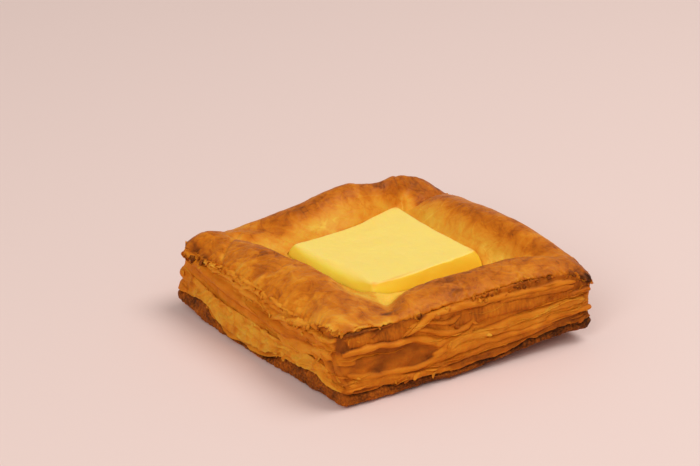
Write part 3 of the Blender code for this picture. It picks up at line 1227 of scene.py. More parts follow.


# Folds with a negative stand are hollows; their dark bake is painted shade inside them.
NEAR_FOLDS: tuple[Fold, ...] = (
    Fold(((1, 22), (10, 21.4), (20, 21), (30, 20.2)), 2.2, 0.3, 0.66, 1),
    Fold(((42, 19.8), (50, 20.2), (57, 20.4), (68, 20.4), (80, 19.2), (92, 18.8)), 2.6, 0.9, 0.62, 1),
    Fold(((40, 24), (48, 24.2), (59, 24.1), (68, 23.8), (80, 23.4), (93, 22.4)), 1.3, 1.1, 0.5),
    Fold(((62, 22.4), (72, 22.6), (82, 21.9), (92, 21)), 0.8, 1.1, 0.58, 0.6),
    Fold(((25, 18.8), (29, 21), (32.5, 23), (35, 24.2), (39, 24.8), (44, 24.4)), 1.3, 1.3, 0.46),
    Fold(((29, 20.4), (33.5, 18.8), (37, 17), (43, 16), (48.5, 16.8), (51.5, 19.2)), 1, 1.2, 0.52),
    Fold(((33, 22), (37, 20.6), (42, 20.2), (46, 21)), 0.8, 1, 0.5, 0.3),
    Fold(((0.5, 18.2), (6, 18.4), (12, 18.2), (22, 17.2), (31, 16), (37.6, 13.8), (44, 13.3),
        (49, 14.2), (51.5, 16.6)), 1.3, 1.4, 0.48),
    # hollow: its dark bake is painted shade
    Fold(((5, 14.2), (14, 13.8), (22, 12.8), (29, 12.2), (37, 11.4)), 4, -2, 0.74, 0, 0.3),
    Fold(((2, 8.4), (10, 8.6), (18, 8), (27, 7.9), (34, 8.7), (41, 10), (46, 12.2), (50, 14.4),
        (50.8, 16.4)), 1.1, 1.1, 0.5),
    Fold(((2, 11), (6, 9.8), (12, 9.2), (19, 8.6)), 0.8, 0.8, 0.54),
    Fold(((35, 10.4), (43, 12.2), (51, 13.1), (60, 13.3), (69, 14.1), (77, 14.7), (86, 15.3),
        (93, 15.7), (96.5, 15.8)), 1.9, 1.1, 0.42, 0, 0.12),
    Fold(((31, 6.8), (38, 8.5), (44, 9.6), (51, 10.5), (59, 9.8), (68, 9.9), (75, 10.7), (86, 11.3),
        (95, 12.4)), 1.5, 1.1, 0.52),
    Fold(((28, 4.8), (35, 6.2), (42, 6.6), (48, 6.9), (54, 8.1), (60, 7.8), (66, 7.5), (75, 8.7),
        (85, 9.6)), 1.1, 1, 0.6, 0.2),
    Fold(((1, 6.9), (8, 6.7), (16, 6.2), (25, 5.4), (34, 4.7), (42, 4.6)), 1.4, 1, 0.54),
    Fold(((62, 11.9), (70, 12.1), (80, 12.8), (90, 13.4), (96, 13.6)), 0.9, 1, 0.46),
    Fold(((80, 11.9), (88, 12.3), (95, 12.6), (102, 12.2)), 0.9, 1.2, 0.54, 0, 0.12),
    Fold(((90, 18.2), (95, 18.8), (98.5, 18.9)), 0.9, 1.1, 0.66, 0.4, 0.12),
    # hollow: its dark bake is painted shade
    Fold(((67, 26.2), (78, 25.9), (88, 24.9), (96, 22.8)), 1.1, -1.2, 0.72, 0, 0.3),
    # hollow under the near flap: its dark bake is painted shade
    Fold(((-1, 22.6), (1.2, 21), (2.2, 18.6)), 2.2, -1.2, 0.84, 0.3, 0.4),
)
# Paler bakes here are partly real and partly painted light on the left face.
LEFT_FOLDS: tuple[Fold, ...] = (
    Fold(((302, 21), (307, 20), (313, 18.8), (320, 17.8), (327, 16.9), (335, 16.4), (343, 16),
        (350, 15.7), (357, 15.3), (364, 14.6), (372, 14.9), (380, 16.2)), 1.6, 1.9, 0.5, 0, 0.12),
    Fold(((315, 21.6), (320, 21.2), (330, 21), (341, 20.2), (352, 19.2), (360, 18.3), (366, 17.8)), 1.1,
        1.1, 0.38),
    Fold(((315, 22.9), (324, 23.2), (333, 22.8), (342, 22.3), (350, 22.6), (358, 21.6), (364, 20.2)), 1,
        0.9, 0.36),
    Fold(((336, 24.2), (344, 24), (352, 24.2), (360, 23.4), (368, 23.6), (376, 23)), 0.8, 0.8, 0.4),
    Fold(((320, 19.6), (327, 22), (335, 24)), 0.7, 0.8, 0.4),
    Fold(((334, 19), (342, 21.4), (347, 23.6)), 0.7, 0.8, 0.36),
    Fold(((348, 18), (354, 20.8), (362, 22.8)), 0.7, 0.8, 0.44),
    Fold(((358, 16.6), (366, 19), (373, 20.6), (379, 21.8), (385, 21.2), (389, 20.3), (394, 21.4),
        (398.5, 23.2)), 1.2, 1.7, 0.38),
    Fold(((370, 22.6), (377, 23.8), (383, 23.8), (388, 22.6)), 0.8, 1.3, 0.46),
    # hollow: its dark bake is painted shade
    Fold(((386, 24.8), (393, 23)), 1.1, -1, 0.66, 0, 0.3),
    Fold(((366, 16.8), (375, 17.9), (385, 18.1), (393, 18.9), (397.5, 20.4)), 2, 1.1, 0.5),
    Fold(((362, 11.4), (372, 12.6), (382, 13.8), (390, 15.4), (396, 16.6)), 1.9, 1.3, 0.36),
    Fold(((384, 13.9), (389.5, 12.6), (393, 10.2), (396, 7.8), (398.5, 6.2)), 1.1, 1.8, 0.5, 0, 0.3),
    Fold(((390, 16), (393.5, 13.6), (396.2, 10.8), (398.5, 8.6), (400, 6.9)), 0.9, 1.8, 0.56, 0, 0.3),
    Fold(((395, 17.4), (397.5, 15), (398.5, 12.2), (400.5, 9.4), (402, 6.8)), 1, 1.2, 0.64, 0, 0.3),
)
SHEET_FOLDS: tuple[Fold, ...] = (
    Fold(((320.5, 7.4), (322.5, 10.2), (325, 12.6), (329, 14.2)), 0.7, 0.7, 0.3),
    Fold(((312, 8), (315, 10.4), (320, 12.8)), 0.6, 0.6, 0.34),
    Fold(((326, 10.8), (331, 12), (336, 11.2), (337, 9.4), (333, 8)), 0.6, 0.5, 0.34),
    Fold(((327, 6.2), (334, 7.4), (342, 7.2), (350, 6.8)), 0.7, 0.6, 0.4),
    Fold(((340, 10.4), (346, 9.2), (354, 8.6), (362, 8.8), (370, 9.8)), 0.8, 0.7, 0.34),
    Fold(((352, 12), (358, 10.9), (366, 11.2), (374, 11)), 0.7, 0.6, 0.4),
    Fold(((356, 5.6), (364, 7), (374, 8), (384, 9.4)), 0.7, 0.6, 0.44),
)


def strewn_folds(seed: int, first: float, last: float, count: int) -> tuple[Fold, ...]:
    """Folds laid at random along a side.

    Args:
        seed: seed of the draw.
        first: place where they begin, in sides.
        last: place where they end.
        count: how many there are.

    Returns:
        The folds, the lowest first.
    """
    draw = np.random.default_rng(seed)
    folds = []
    for number in range(count):
        begin = draw.uniform(first, last - 0.1)
        end = min(begin + draw.uniform(0.16, 0.55), last)
        level = 4.0 + 18.5 * (number + draw.uniform(0.1, 0.9)) / count
        along = np.linspace(begin, end, 7) * SIDE_LENGTH
        heights = level + np.cumsum(draw.normal(0.0, 0.55, 7))
        route = tuple(zip(along.tolist(), np.clip(heights, 2.5, 24.0).tolist()))
        folds.append(Fold(route, width=draw.uniform(0.8, 1.9), stand=draw.uniform(0.7, 1.4),
                          bake=draw.uniform(0.34, 0.54), comb=0.7 * (draw.uniform() > 0.75)))
    return tuple(folds)


@dataclass
class Band:
    """One bundle of leaves between two seams: its form and bake round the square.

    The seam is the height of its lower edge. The lip is how far that edge stands out, the tuck
    how deep its upper edge lies under the next band, the bulge how far its middle stands out,
    the lean how far its top does, and the fan how far its fine leaves do.
    """

    rows: int
    seam: Keys
    lip: Keys
    tuck: Keys
    bulge: Keys
    fan: Keys
    bake: Keys
    comb: Keys
    lean: Keys = keyed({0: 0})
    porous: float = 0.0
    pitch: float = 1.25


# Left side (3 to 4) bakes are paler: real lighter bake plus painted light where the key misses.
BANDS: tuple[Band, ...] = (
    Band(
        rows=22, porous=1.0, seam={0: 0}, lip={0: 0}, tuck={0: 0.5, 0.9: 0.7, 3: 1.1, 3.9: 1.4},
        bulge={0: 0.6, 1: 0.3, 2: 0.6, 3: 0.7}, fan={0: 0.15},
        # the base crust's real dark bake, deepened along the near side by painted shade at the foot
        bake={0: 0.72, 0.25: 0.8, 0.6: 0.83, 0.85: 0.82, 0.95: 0.85, 1: 0.88, 1.1: 0.8, 3: 0.76,
            3.5: 0.8, 3.9: 0.78},
        comb={0: 0.2, 3: 0.9, 3.5: 0.9}),
    Band(
        rows=22, porous=0.35, pitch=1.6,
        seam={0: 5, 0.25: 4, 0.5: 3.4, 0.6: 4, 0.73: 6.4, 0.9: 8.4, 1: 8.6, 1.4: 4.6, 2: 6.4, 2.5: 4,
            3: 7, 3.1: 7.8, 3.2: 7.8, 3.27: 3.4, 3.4: 1.6, 3.55: 2.2, 3.68: 6.6, 3.8: 7.4, 3.9: 9,
            3.97: 7.6},
        lip={0: 0.6, 0.9: 0.4, 2.9: 0.5, 3.05: 1.2, 3.9: 1.4, 3.97: 1}, tuck={0: 0.2, 3.05: 0, 3.9: 0.2},
        bulge={0: 0.3, 0.5: 0.4, 0.96: 0.2, 1: -1.2, 1.04: 0.2, 3: 0.6, 3.5: 0.8},
        fan={0: 0.2, 0.3: 0.1, 0.9: 0.12, 0.97: 0.05, 1.03: 0.05, 1.1: 0.25, 2.9: 0.2, 3: 0, 3.9: 0.1},
        bake={0: 0.74, 0.12: 0.66, 0.3: 0.68, 0.5: 0.72, 0.9: 0.72, 1: 0.8, 1.1: 0.62, 3: 0.54,
            3.5: 0.46, 3.9: 0.56},
        comb={0: 0.1}),
    Band(
        rows=26, porous=0.2, pitch=2.2,
        seam={0: 8.2, 0.24: 7.6, 0.4: 6.2, 0.56: 7.8, 0.73: 9, 0.9: 11, 1: 11.4, 1.5: 8.6, 2: 10,
            2.5: 8.6, 3: 10.6, 3.3: 8.6, 3.6: 8, 3.9: 10.6},
        lip={0: 0.1, 0.5: 0.3, 2.9: 0.3, 3.05: 0.1}, tuck={0: 0.2, 0.5: 0.4, 3.05: 0, 3.85: 0},
        bulge={0: -0.3, 0.5: 0.2, 1.05: 0.2, 2.96: 0.3, 3: 1, 3.06: 0.4, 3.5: 0.6,
            3.9: 0.5},
        fan={0: 0.05, 0.33: 0.05, 0.45: 0.08, 0.95: 0.1, 1: 0.02, 1.1: 0.25, 2.9: 0.2, 3: 0},
        bake={0: 0.68, 0.06: 0.62, 0.28: 0.6, 0.45: 0.54, 0.6: 0.52, 0.9: 0.54, 1: 0.6, 3: 0.5,
            3.5: 0.44},
        comb={0: 0.05, 0.5: 0.15, 0.7: 0.1}),
    Band(
        rows=22, porous=0.1, pitch=2.0,
        seam={0: 14.6, 0.24: 13.6, 0.4: 12, 0.56: 12.4, 0.73: 13.2, 0.9: 14.8, 1: 14.4, 1.5: 14,
            2.5: 14, 3: 15, 3.2: 13, 3.4: 11.6, 3.7: 11.6, 3.9: 13.6},
        lip={0: 0.3, 2.9: 0.3, 3.05: 0, 3.9: 0.2}, tuck={0: 0.2, 0.5: 0.3, 3.05: 0.1},
        bulge={0: 0.3, 0.9: 0.2, 0.96: -1.6, 1: -2.4, 1.04: -1.6, 1.1: 0, 2.9: 0.3, 3: -1.6, 3.06: 0.4,
            3.1: 0.6, 3.8: 0.5},
        lean={0: 0, 0.93: 0, 0.97: -1.2, 1.03: -1.2, 1.07: 0, 2.97: 0, 3: -0.8, 3.03: 0},
        fan={0: 0.08, 0.4: 0.1, 0.95: 0.12, 1: 0.02, 1.1: 0.25, 2.9: 0.2, 3: 0, 3.9: 0.1},
        bake={0: 0.62, 0.08: 0.55, 0.7: 0.5, 1: 0.62, 2.9: 0.5, 3.1: 0.54, 3.95: 0.5}, comb={0: 0.2}),
    Band(
        rows=34, pitch=1.5,
        seam={0: 17.8, 0.24: 16.8, 0.4: 17, 0.56: 15, 0.73: 17.6, 0.9: 18.6, 1: 17.8, 1.5: 17.6, 2: 17,
            2.5: 17.4, 3: 18.6, 3.2: 18.8, 3.5: 16.6, 3.7: 16.8, 3.9: 18.6},
        lip={0: 0.1, 0.5: 0.2, 3.06: 0.2},
        tuck={0: 1.4, 0.1: 1, 0.4: 0.1, 0.7: 0.2, 0.85: 0.9, 0.95: 1.6, 1.1: 0.6, 2: 0.8,
            3: 0.3, 3.8: 0.2, 3.95: 1.2},
        bulge={0: -1.4, 0.1: -0.8, 0.4: 0.1, 0.7: 0, 0.82: -0.6, 0.93: -1.2, 0.98: -2,
            1.03: -1.6, 1.1: -0.6, 2: -0.6, 2.95: -1, 3: -2.2, 3.05: -0.8, 3.1: 0.2, 3.8: 0.4,
            3.93: -0.4},
        lean={0: 0, 0.95: 0, 0.98: -1.6, 1.02: -1.6, 1.06: 0, 2.96: 0, 3: -1.2, 3.08: -0.6, 3.2: -0.8,
            3.82: -0.8, 3.94: 0},
        fan={0: 0.15, 0.95: 0.15, 1: 0.02, 1.1: 0.25, 2.9: 0.2, 3: 0.1, 3.12: 0.5, 3.8: 0.5,
            3.93: 0.2},
        # near corner darkened further: painted shadow under the near flap of the top sheet
        bake={0: 0.86, 0.1: 0.74, 0.3: 0.6, 0.5: 0.56, 0.85: 0.68, 0.95: 0.84, 1.1: 0.62, 3: 0.82,
            3.06: 0.66, 3.12: 0.56, 3.2: 0.5, 3.7: 0.5, 3.9: 0.6, 3.97: 0.78},
        comb={0: 0.8, 0.5: 0.5, 0.9: 0.6, 3: 0.2, 3.5: 0.1}),
)


@dataclass
class DoughSides:
    """The dough's sides, from the base edge up to the top sheet, as bands of baked leaves.

    Levels run from 0 at the base edge to one for each band at the top sheet.
    """

    form: DoughForm
    bands: tuple[Band, ...] = BANDS
    folds: tuple[Fold, ...] = (NEAR_FOLDS + LEFT_FOLDS
                               + strewn_folds(Seed.RIGHT_FOLDS, 1.07, 2.04, 22)
                               + strewn_folds(Seed.FAR_FOLDS, 1.98, 2.98, 22))
    sheet_step: Keys = keyed({
        0: 0.6, 3: 0.5, 3.07: 0.1, 3.84: 0.1, 3.93: 0.5})
    scorch: Keys = keyed({
        0: 0.02, 0.25: 0.08, 0.6: 0.08, 0.95: 0.08, 1.1: 0.12, 2: 0.1, 2.9: 0.08, 3.1: 0.04, 3.5: 0,
        3.85: 0.06})
    wave: float = 0.7
    least: float = 0.9

    def seams(self, places: Array) -> list[Array]:
        """Heights of the seams between the bands.

        Args:
            places: places, in sides.

        Returns:
            Heights at the places, from the base edge up to the top sheet.
        """
        form = self.form
        wander = Grain(Seed.SEAMS)
        top = form.heights(form.sheet_edge, places) - by_place(self.sheet_step, places)
        seams = [form.heights(form.base_lift, places)]
        for number, band in enumerate(self.bands[1:]):
            height = by_place(band.seam, places, 0.03)
            height = height + self.wave * wander.streaks(places, 7.0 * number, 13.0, 1.0, 3)
            above = len(self.bands) - 1 - number
            seams.append(np.clip(height, seams[-1] + self.least, top - self.least * above))
        return seams + [top]

    def wall(self, places: Array, height: Array) -> Array:
        """Even wall from the base outline to the top one, without the bands.

        Args:
            places: places, in sides.
            height: heights on the wall, in mm.

        Returns:
            Points in space.
        """
        form = self.form
        low, high = form.heights(form.base_lift, places), form.heights(form.sheet_edge, places)
        rise = ((height - low) / (high - low))[..., None]
        plan = form.base(places) * (1.0 - rise) + form.top(places) * rise
        plan, height = np.broadcast_arrays(plan, height[..., None])
        return np.concatenate([plan, height[..., :1]], axis=-1)

    def surface(self, number: int, places: Array, share: Array) -> Patch:
        """Points of one band.

        Args:
            number: the band, counted from the base.
            places: places, in sides.
            share: place between the band's seams, 0 at the lower one; it broadcasts with places.

        Returns:
            Points in space with their bake, comb and porous values.
        """
        band, grain = self.bands[number], Grain(Seed.SIDES)
        seams = self.seams(places)
        height = seams[number] * (1.0 - share) + seams[number + 1] * share
        thick = seams[number + 1] - seams[number]
        places = places + 0.0 * height
        edge, fan, ragged = self._leaves(number, places, height)
        lip = by_place(band.lip, places) * bell(share * thick, 0.8) * ragged
        tuck = by_place(band.tuck, places) * bell((1.0 - share) * thick, 0.7)
        stand = by_place(band.bulge, places, 0.04) * 4.0 * share * (1.0 - share)
        stand = stand + by_place(band.lean, places, 0.04) * share ** 1.4
        points = self.wall(places, height)
        warped = height + 0.8 * grain.lumps(points + 110.0, 8.0)
        rough = (0.30 * grain.lumps(points, 4.0, 2)
                 + 0.6 * grain.streaks(places, warped, 12.0, 4.5, 2))
        out = stand + lip - tuck + fan * (2.0 * edge - 0.4)
        bake = by_place(band.bake, places) - 0.20 * edge * np.minimum(fan * 2.5, 1.0)
        # painted shade: a band's upper edge is darker where it lies tucked under the next band
        bake = bake + 0.12 * bell((1.0 - share) * thick, 0.9) * np.clip(tuck * 4.0, 0.0, 1.0)
        bake = bake - 0.06 * bell(share * thick, 0.8)
        comb = by_place(band.comb, places)
        shifted = height + 0.7 * grain.streaks(places, height + 50.0, 9.0, 5.0, 2)
        for fold in self.folds:
            rise, cover, border = fold.over(places, shifted)
            if fold.stand > 0.0:
                out = np.maximum(out, rise + 0.25 * (out - stand) * cover)
                out = out - 0.35 * border * (1.0 - cover)
            else:
                out = out + rise
            bake = bake * (1.0 - cover) + fold.bake * cover
            # painted shade along the crease round each fold
            bake = bake + border * 0.05
            comb = comb * (1.0 - cover) + fold.comb * cover
        rough = rough + 0.16 * comb * grain.streaks(places, height, 1.0, 9.0)
        rough = rough + 0.35 * band.porous * grain.lumps(points + 70.0, 1.7, 2)
        points[..., :2] += self.form.away(places) * (out + rough)[..., None]
        # random tone, and painted shade: recessed lumps darker, raised lumps lighter
        bake = bake + 0.09 * grain.lumps(points + 30.0, 7.0, 2) - 0.05 * rough
        bake = bake + by_place(self.scorch, places) * bell(height - seams[0], 5.0)
        return Patch(points, {"bake": bake, "comb": comb,
                              "porous": np.full_like(height, band.porous)})

    def _leaves(self, number: int, places: Array,
                height: Array) -> tuple[Array, Array, Array]:
        """Fine leaves of one band.

        Args:
            number: the band, counted from the base.
            places: places, in sides.
            height: heights on the side, in mm.

        Returns:
            The leaves' sharp edges, 0 to 1, how far they fan out, and how ragged they are.
        """
        band, leaf = self.bands[number], Grain(Seed.LEAVES)
        ragged = 1.0 + 0.7 * leaf.streaks(places, 3.0 * number, 6.0, 1.0, 2)
        drift = leaf.streaks(places, height * 0.25 + 11.0 * number, 15.0, 1.0, 2)
        swing = leaf.streaks(places, height + 31.0 * number, 11.0, 5.0)
        phase = (height + 2.2 * drift + 1.1 * swing) / band.pitch
        saw = phase - np.floor(phase)
        edge = saw ** 2.0 * (1.0 - ease(0.82, 1.0, saw))
        broken = leaf.streaks(places, np.floor(phase) * 7.3 + number, 7.0, 1.0, 2)
        return edge, by_place(band.fan, places) * ease(-0.3, 0.4, broken), ragged

    def at(self, places: Array, levels: Array) -> Patch:
        """Points on the sides.

        Args:
            places: place of each point, in sides.
            levels: its level, in bands.

        Returns:
            Points in space with their bake, comb and porous values.
        """
        number = np.clip(np.floor(levels), 0, len(self.bands) - 1).astype(int)
        points = np.zeros((len(places), 3))
        values = {name: np.zeros(len(places)) for name in ("bake", "comb", "porous")}
        for band in range(len(self.bands)):
            here = number == band
            if here.any():
                part = self.surface(band, places[here], levels[here] - band)
                points[here] = part.points
                for name, value in part.values.items():
                    values[name][here] = value
        return Patch(points, values)


@dataclass
class LayeredBody:
    """The dough's body: a porous base crust with its underside, and the leaves above it."""

    sides: DoughSides
    per_side: int = 216
    underside_rows: int = 12
    flat_share: float = 0.62
    underside_bake: float = 0.76
    base_bands: int = 1

    def build(self) -> list[Object]:
        """Make the two pieces, each one closed solid.

        Returns:
            The base crust and the layered sides.
        """
        places = np.arange(self.per_side * 4) / self.per_side
        finish = LeafFinish().build()
        count = len(self.sides.bands)
        lower = self._bands(places, range(self.base_bands))
        crust = self._underside(places, lower).joined(lower).joined(self._lid(lower, 0.0))
        upper = self._bands(places, range(self.base_bands, count))
        leaves = self._foot(upper).joined(upper).joined(self._lid(upper, -10.0))
        pieces = [MeshMaker.loft("base_crust", crust, ring=False),
                  MeshMaker.loft("layered_sides", leaves, ring=False)]
        for piece in pieces:
            piece.data.materials.append(finish)
        return pieces

    def _bands(self, places: Array, numbers: Iterable[int]) -> Patch:
        """Several bands in one patch.

        Args:
            places: places, in sides.
            numbers: the bands, counted from the base.

        Returns:
            Points in space with their values.
        """
        blocks = []
        for number in numbers:
            rows = self.sides.bands[number].rows
            share = (np.arange(rows) / (rows - 1) * 0.96 + 0.02)[None, :]
            blocks.append(self.sides.surface(number, places[:, None], share))
        patch = blocks[0]
        for block in blocks[1:]:
            patch = patch.joined(block)
        return patch

    @staticmethod
    def _inwards(patch: Patch, row: int, steps: Sequence[tuple[float, float]]) -> Patch:
        """Rows that lead from a row of a patch towards the middle.

        Args:
            patch: the patch that is closed.
            row: its first or last row.
            steps: reach from the middle, as a share, and rise, for each new row.

        Returns:
            The new rows.
        """
        edge = patch.points[:, row]
        middle = edge[:, :2].mean(axis=0)
        level = edge[:, 2].mean()
        rows = []
        for reach, rise in steps:
            plan = middle + (edge[:, :2] - middle) * reach
            height = level + (edge[:, 2] - level) * reach + rise
            rows.append(np.column_stack([plan, height]))
        keep = {name: np.repeat(value[:, row][:, None], len(rows), axis=1)
                for name, value in patch.values.items()}
        return Patch(np.stack(rows, axis=1), keep)

    def _lid(self, patch: Patch, sink: float) -> Patch:
        """Hidden rows that close a patch at its top."""
        return self._inwards(patch, -1, ((0.98, 0.1), (0.95, 0.0), (0.9, 0.1 * sink),
                                         (0.82, 0.5 * sink), (0.72, sink), (0.3, sink)))

    def _foot(self, patch: Patch) -> Patch:
        """Hidden rows that close a patch at its foot."""
        return self._inwards(patch, 0, ((0.3, 1.0), (0.6, 1.0), (0.9, 0.8), (0.97, 0.4)))

    def _underside(self, places: Array, side: Patch) -> Patch:
        """Rows from the flat middle of the underside out to the lifted edge.

        Args:
            places: places, in sides.
            side: the band that starts at that edge.

        Returns:
            The underside's rows.
        """
        edge = side.points[:, 0]
        middle = edge[:, :2].mean(axis=0)
        grain = Grain(Seed.UNDERSIDE)
        rows = []
        flat_rows, curled = self.underside_rows // 3, 1.0 - self.flat_share
        for number in range(1, self.underside_rows):
            if number <= flat_rows:
                reach = self.flat_share * number / flat_rows
            else:
                share = (number - flat_rows) / (self.underside_rows - flat_rows)
                reach = self.flat_share + curled * share
            lift = max(0.0, (reach - self.flat_share) / curled)
            plan = middle + (edge[:, :2] - middle) * reach
            height = edge[:, 2] * lift ** 1.6
            dents = grain.lumps(np.column_stack([plan, height]), 5.0, 2)
            height = height + 0.3 * np.abs(dents)
            rows.append(np.column_stack([plan, height]))
        shape = (len(places), len(rows))
        values = {"bake": np.full(shape, self.underside_bake), "comb": np.zeros(shape),
                  "porous": np.ones(shape)}
        return Patch(np.stack(rows, axis=1), values)


@dataclass
class LeafStrips:
    """Thin leaves whose baked edges stand out along the sides, merging and parting."""

    sides: DoughSides
    count: int = 140
    step: float = 0.65
    shortest: float = 5.0
    longest: float = 30.0
    widest: float = 1.05
    flatness: float = 0.26
    seed: int = Seed.STRIPS

    def build(self) -> Object:
        """Grow the leaves along their routes.

        Returns:
            The leaves, as one piece.
        """
        tree = Grower("leaf_strips", {"Flatness": self.flatness, "Crumples": 1.0 / (2.6 * MM),
                                      "Crumple depth": 0.5 * MM})
        ring = tree.node("GeometryNodeCurvePrimitiveCircle", {"Resolution": 7, "Radius": MM})
        flat = tree.node("ShaderNodeCombineXYZ", {"X": 1.0, "Y": tree.given["Flatness"], "Z": 1.0})
        profile = tree.node("GeometryNodeTransform", {"Geometry": ring, "Scale": flat})
        curve = tree.node("GeometryNodeMeshToCurve", {"Mesh": tree.given["Geometry"]})
        level = tree.node("GeometryNodeSetCurveNormal", {"Curve": curve}, mode="Z_UP")
        tilted = tree.node("GeometryNodeSetCurveTilt", {"Curve": level, "Tilt": tree.named("droop")})
        swept = tree.node("GeometryNodeCurveToMesh",
                          {"Curve": tilted, "Profile Curve": profile,
                           "Scale": tree.named("reach"), "Fill Caps": True})
        crumpled = tree.crumpled(swept, tree.given["Crumples"], tree.given["Crumple depth"])
        return tree.grow(self._routes(), crumpled, LeafFinish("leaf_edges").build())

    def _routes(self) -> Object:
        """Lines along the sides that the leaves follow.

        Returns:
            The carrier, with each point's reach, droop, bake and comb.
        """
        draw = np.random.default_rng(self.seed)
        grain = Grain(Seed.STRIP_ROUTES)
        places, levels, reaches, droops, tints, edges = [], [], [], [], [], []
        start = 0
        for number in range(self.count):
            begin, level = draw.uniform(0.0, SIDES), draw.uniform(1.0, 4.9)
            length = self.shortest + (self.longest - self.shortest) * draw.uniform() ** 2
            points = max(6, int(length / self.step))
            u = np.linspace(0.0, 1.0, points)
            place = begin + u * length / SIDE_LENGTH
            drift = draw.normal() * 0.35 * u + 0.40 * grain.streaks(place, number * 1.7, 14.0, 1.0, 2)
            reach = self.widest * draw.uniform(0.45, 1.0) * np.sin(math.pi * (0.02 + 0.96 * u)) ** 0.6
            reach = reach * (1.0 + 0.5 * grain.streaks(place, number * 3.1, 2.4, 1.0, 2))
            level = np.clip(level + drift, 0.6, TOP_LEVEL)
            reach = reach * self.room(place % SIDES, level)
            if reach.max() < 0.25:
                continue
            places.append(place % SIDES)
            levels.append(level)
            reaches.append(np.maximum(reach, 0.05))
            droops.append(draw.uniform(-0.5, 0.6) + 0.3 * grain.streaks(place, number * 5.3, 8.0, 1.0))
            tints.append(np.full(points, draw.uniform(-0.12, 0.06)))
            edges.append(np.stack([np.arange(points - 1), np.arange(1, points)], axis=1) + start)
            start += points
        patch = self.sides.at(np.concatenate(places), np.concatenate(levels))
        values = {"bake": patch.values["bake"] + np.concatenate(tints), "reach": np.concatenate(reaches),
                  "droop": np.concatenate(droops), "comb": patch.values["comb"] * 0.4}
        return MeshMaker.lines("leaf_strips", patch.points, np.concatenate(edges), values)

    @staticmethod
    def room(places: Array, levels: Array) -> Array:
        """How freely leaves stand out: little in the smooth hollow, roll and left sheet.

        Args:
            places: places, in sides.
            levels: their levels, in bands.

        Returns:
            Shares from 0 to 1.
        """
        hollow = near_place(places, 0.19, 0.17) * bell(levels - 2.6, 0.65)
        left = ease(3.02, 3.12, places) * (1.0 - ease(3.82, 3.92, places))
        roll = left * bell(levels - 3.5, 0.6)
        sheet = left * bell(levels - 2.0, 1.0) * 0.8
        corners = np.maximum(near_place(places, 1.0, 0.03), near_place(places, 3.0, 0.04))
        combed = near_place(places, 0.65, 0.22) * bell(levels - 4.4, 0.5) * 0.8
        curled = near_place(places, 3.06, 0.12) * bell(levels - 4.6, 0.7)
        right = ease(0.4, 0.5, places) * (1.0 - ease(0.86, 0.96, places))
        even = right * bell(levels - 2.4, 1.1) * 0.85
        taken = np.max([hollow, roll, sheet, corners, combed, curled, even], axis=0)
        return np.clip(1.0 - taken, 0.0, 1.0)


@dataclass
class DrapedSheet:
    """A thin sheet of dough that hangs over the leaves below it and ends in a torn edge."""

    name: str
    sides: DoughSides
    start: float
    end: float
    upper: Keys
    lower: Keys
    stand: Keys
    bake: Keys
    folds: tuple[Fold, ...] = ()
    fray: float = 0.7
    blisters: float = 0.6
    thickness: float = 0.45
    pitch: float = 0.4
    rows: int = 22
    seed: int = Seed.LEFT_SHEET
    porous: float = 0.3

    def build(self, finish: Material) -> Object:
        """Make the sheet as one closed solid.

        Args:
            finish: its material.

        Returns:
            The sheet.
        """
        form, grain = self.sides.form, Grain(self.seed)
        count = int((self.end - self.start) * SIDE_LENGTH / self.pitch)
        places = np.linspace(self.start, self.end, count)
        u = np.linspace(0.0, 1.0, count)[:, None]
        v = np.linspace(0.0, 1.0, self.rows)[None, :]
        s = places[:, None] % SIDES
        lower = by_place(self.lower, places % SIDES, 0.012)
        lower = lower + self.fray * (0.7 * grain.streaks(places, 1.0, 7.0, 1.0, 2)
                                     + 0.6 * grain.streaks(places, 5.0, 1.8, 1.0, 2))
        upper = by_place(self.upper, places % SIDES, 0.02)
        height = upper[:, None] * (1.0 - v) + lower[:, None] * v
        fade = np.clip(np.sin(math.pi * np.clip(u, 0.0, 1.0)) * 6.0, 0.0, 1.0)
        stand = by_place(self.stand, places % SIDES, 0.02)[:, None]
        wall = self.sides.wall(s + 0.0 * height, height)
        warp = 1.6 * grain.lumps(wall + 40.0, 7.0, 2)
        strayed = s + 0.02 * grain.lumps(wall + 60.0, 6.0)
        veins = ridges(grain.streaks(strayed, height + 1.5 * warp, 8.0, 3.0))
        bubble = np.clip(grain.lumps(wall + 80.0, 3.6, 2), 0.0, 1.0)
        out = 0.5 + stand * (0.35 + 0.65 * v ** 1.4) + 0.5 * grain.lumps(wall + 20.0, 12.0)
        out = out + self.blisters * (veins + 1.2 * bubble - 0.5) * np.sin(math.pi * (0.1 + 0.8 * v))
        raised, tint = np.zeros_like(height), np.zeros_like(height)
        for fold in self.folds:
            rise, cover, _ = fold.over(s + 0.0 * height, height + warp)
            raised = np.maximum(raised, rise)
            tint = tint * (1.0 - cover) + (fold.bake - 0.42) * cover
        out = (out + raised) * (0.25 + 0.75 * fade)
        away = form.away(s + 0.0 * height)
        outer, inner = wall.copy(), wall.copy()
        outer[..., :2] += away * out[..., None]
        slim = self.thickness * (1.0 - 0.55 * v ** 3) * (0.4 + 0.6 * fade)
        inner[..., :2] += away * (out - slim)[..., None]
        points = np.concatenate([outer, inner[:, ::-1]], axis=1)
        bake = by_place(self.bake, places % SIDES)[:, None] + 0.0 * v
        bake = bake + tint - 0.08 * veins + 0.24 * bubble + 0.14 * grain.lumps(wall, 7.0, 2)
        bake = bake - 0.10 * bell((1.0 - v) * (upper - lower)[:, None], 0.8)
        # painted shade: the sheet's back, facing the leaves, is darker
        bake = np.concatenate([bake, bake[:, ::-1] + 0.1], axis=1)
        comb = np.zeros_like(bake.T)
        patch = Patch(np.swapaxes(points, 0, 1),
                      {"bake": bake.T, "comb": comb, "porous": comb + self.porous})
        sheet = MeshMaker.loft(self.name, patch, ring=False)
        sheet.data.materials.append(finish)
        return sheet


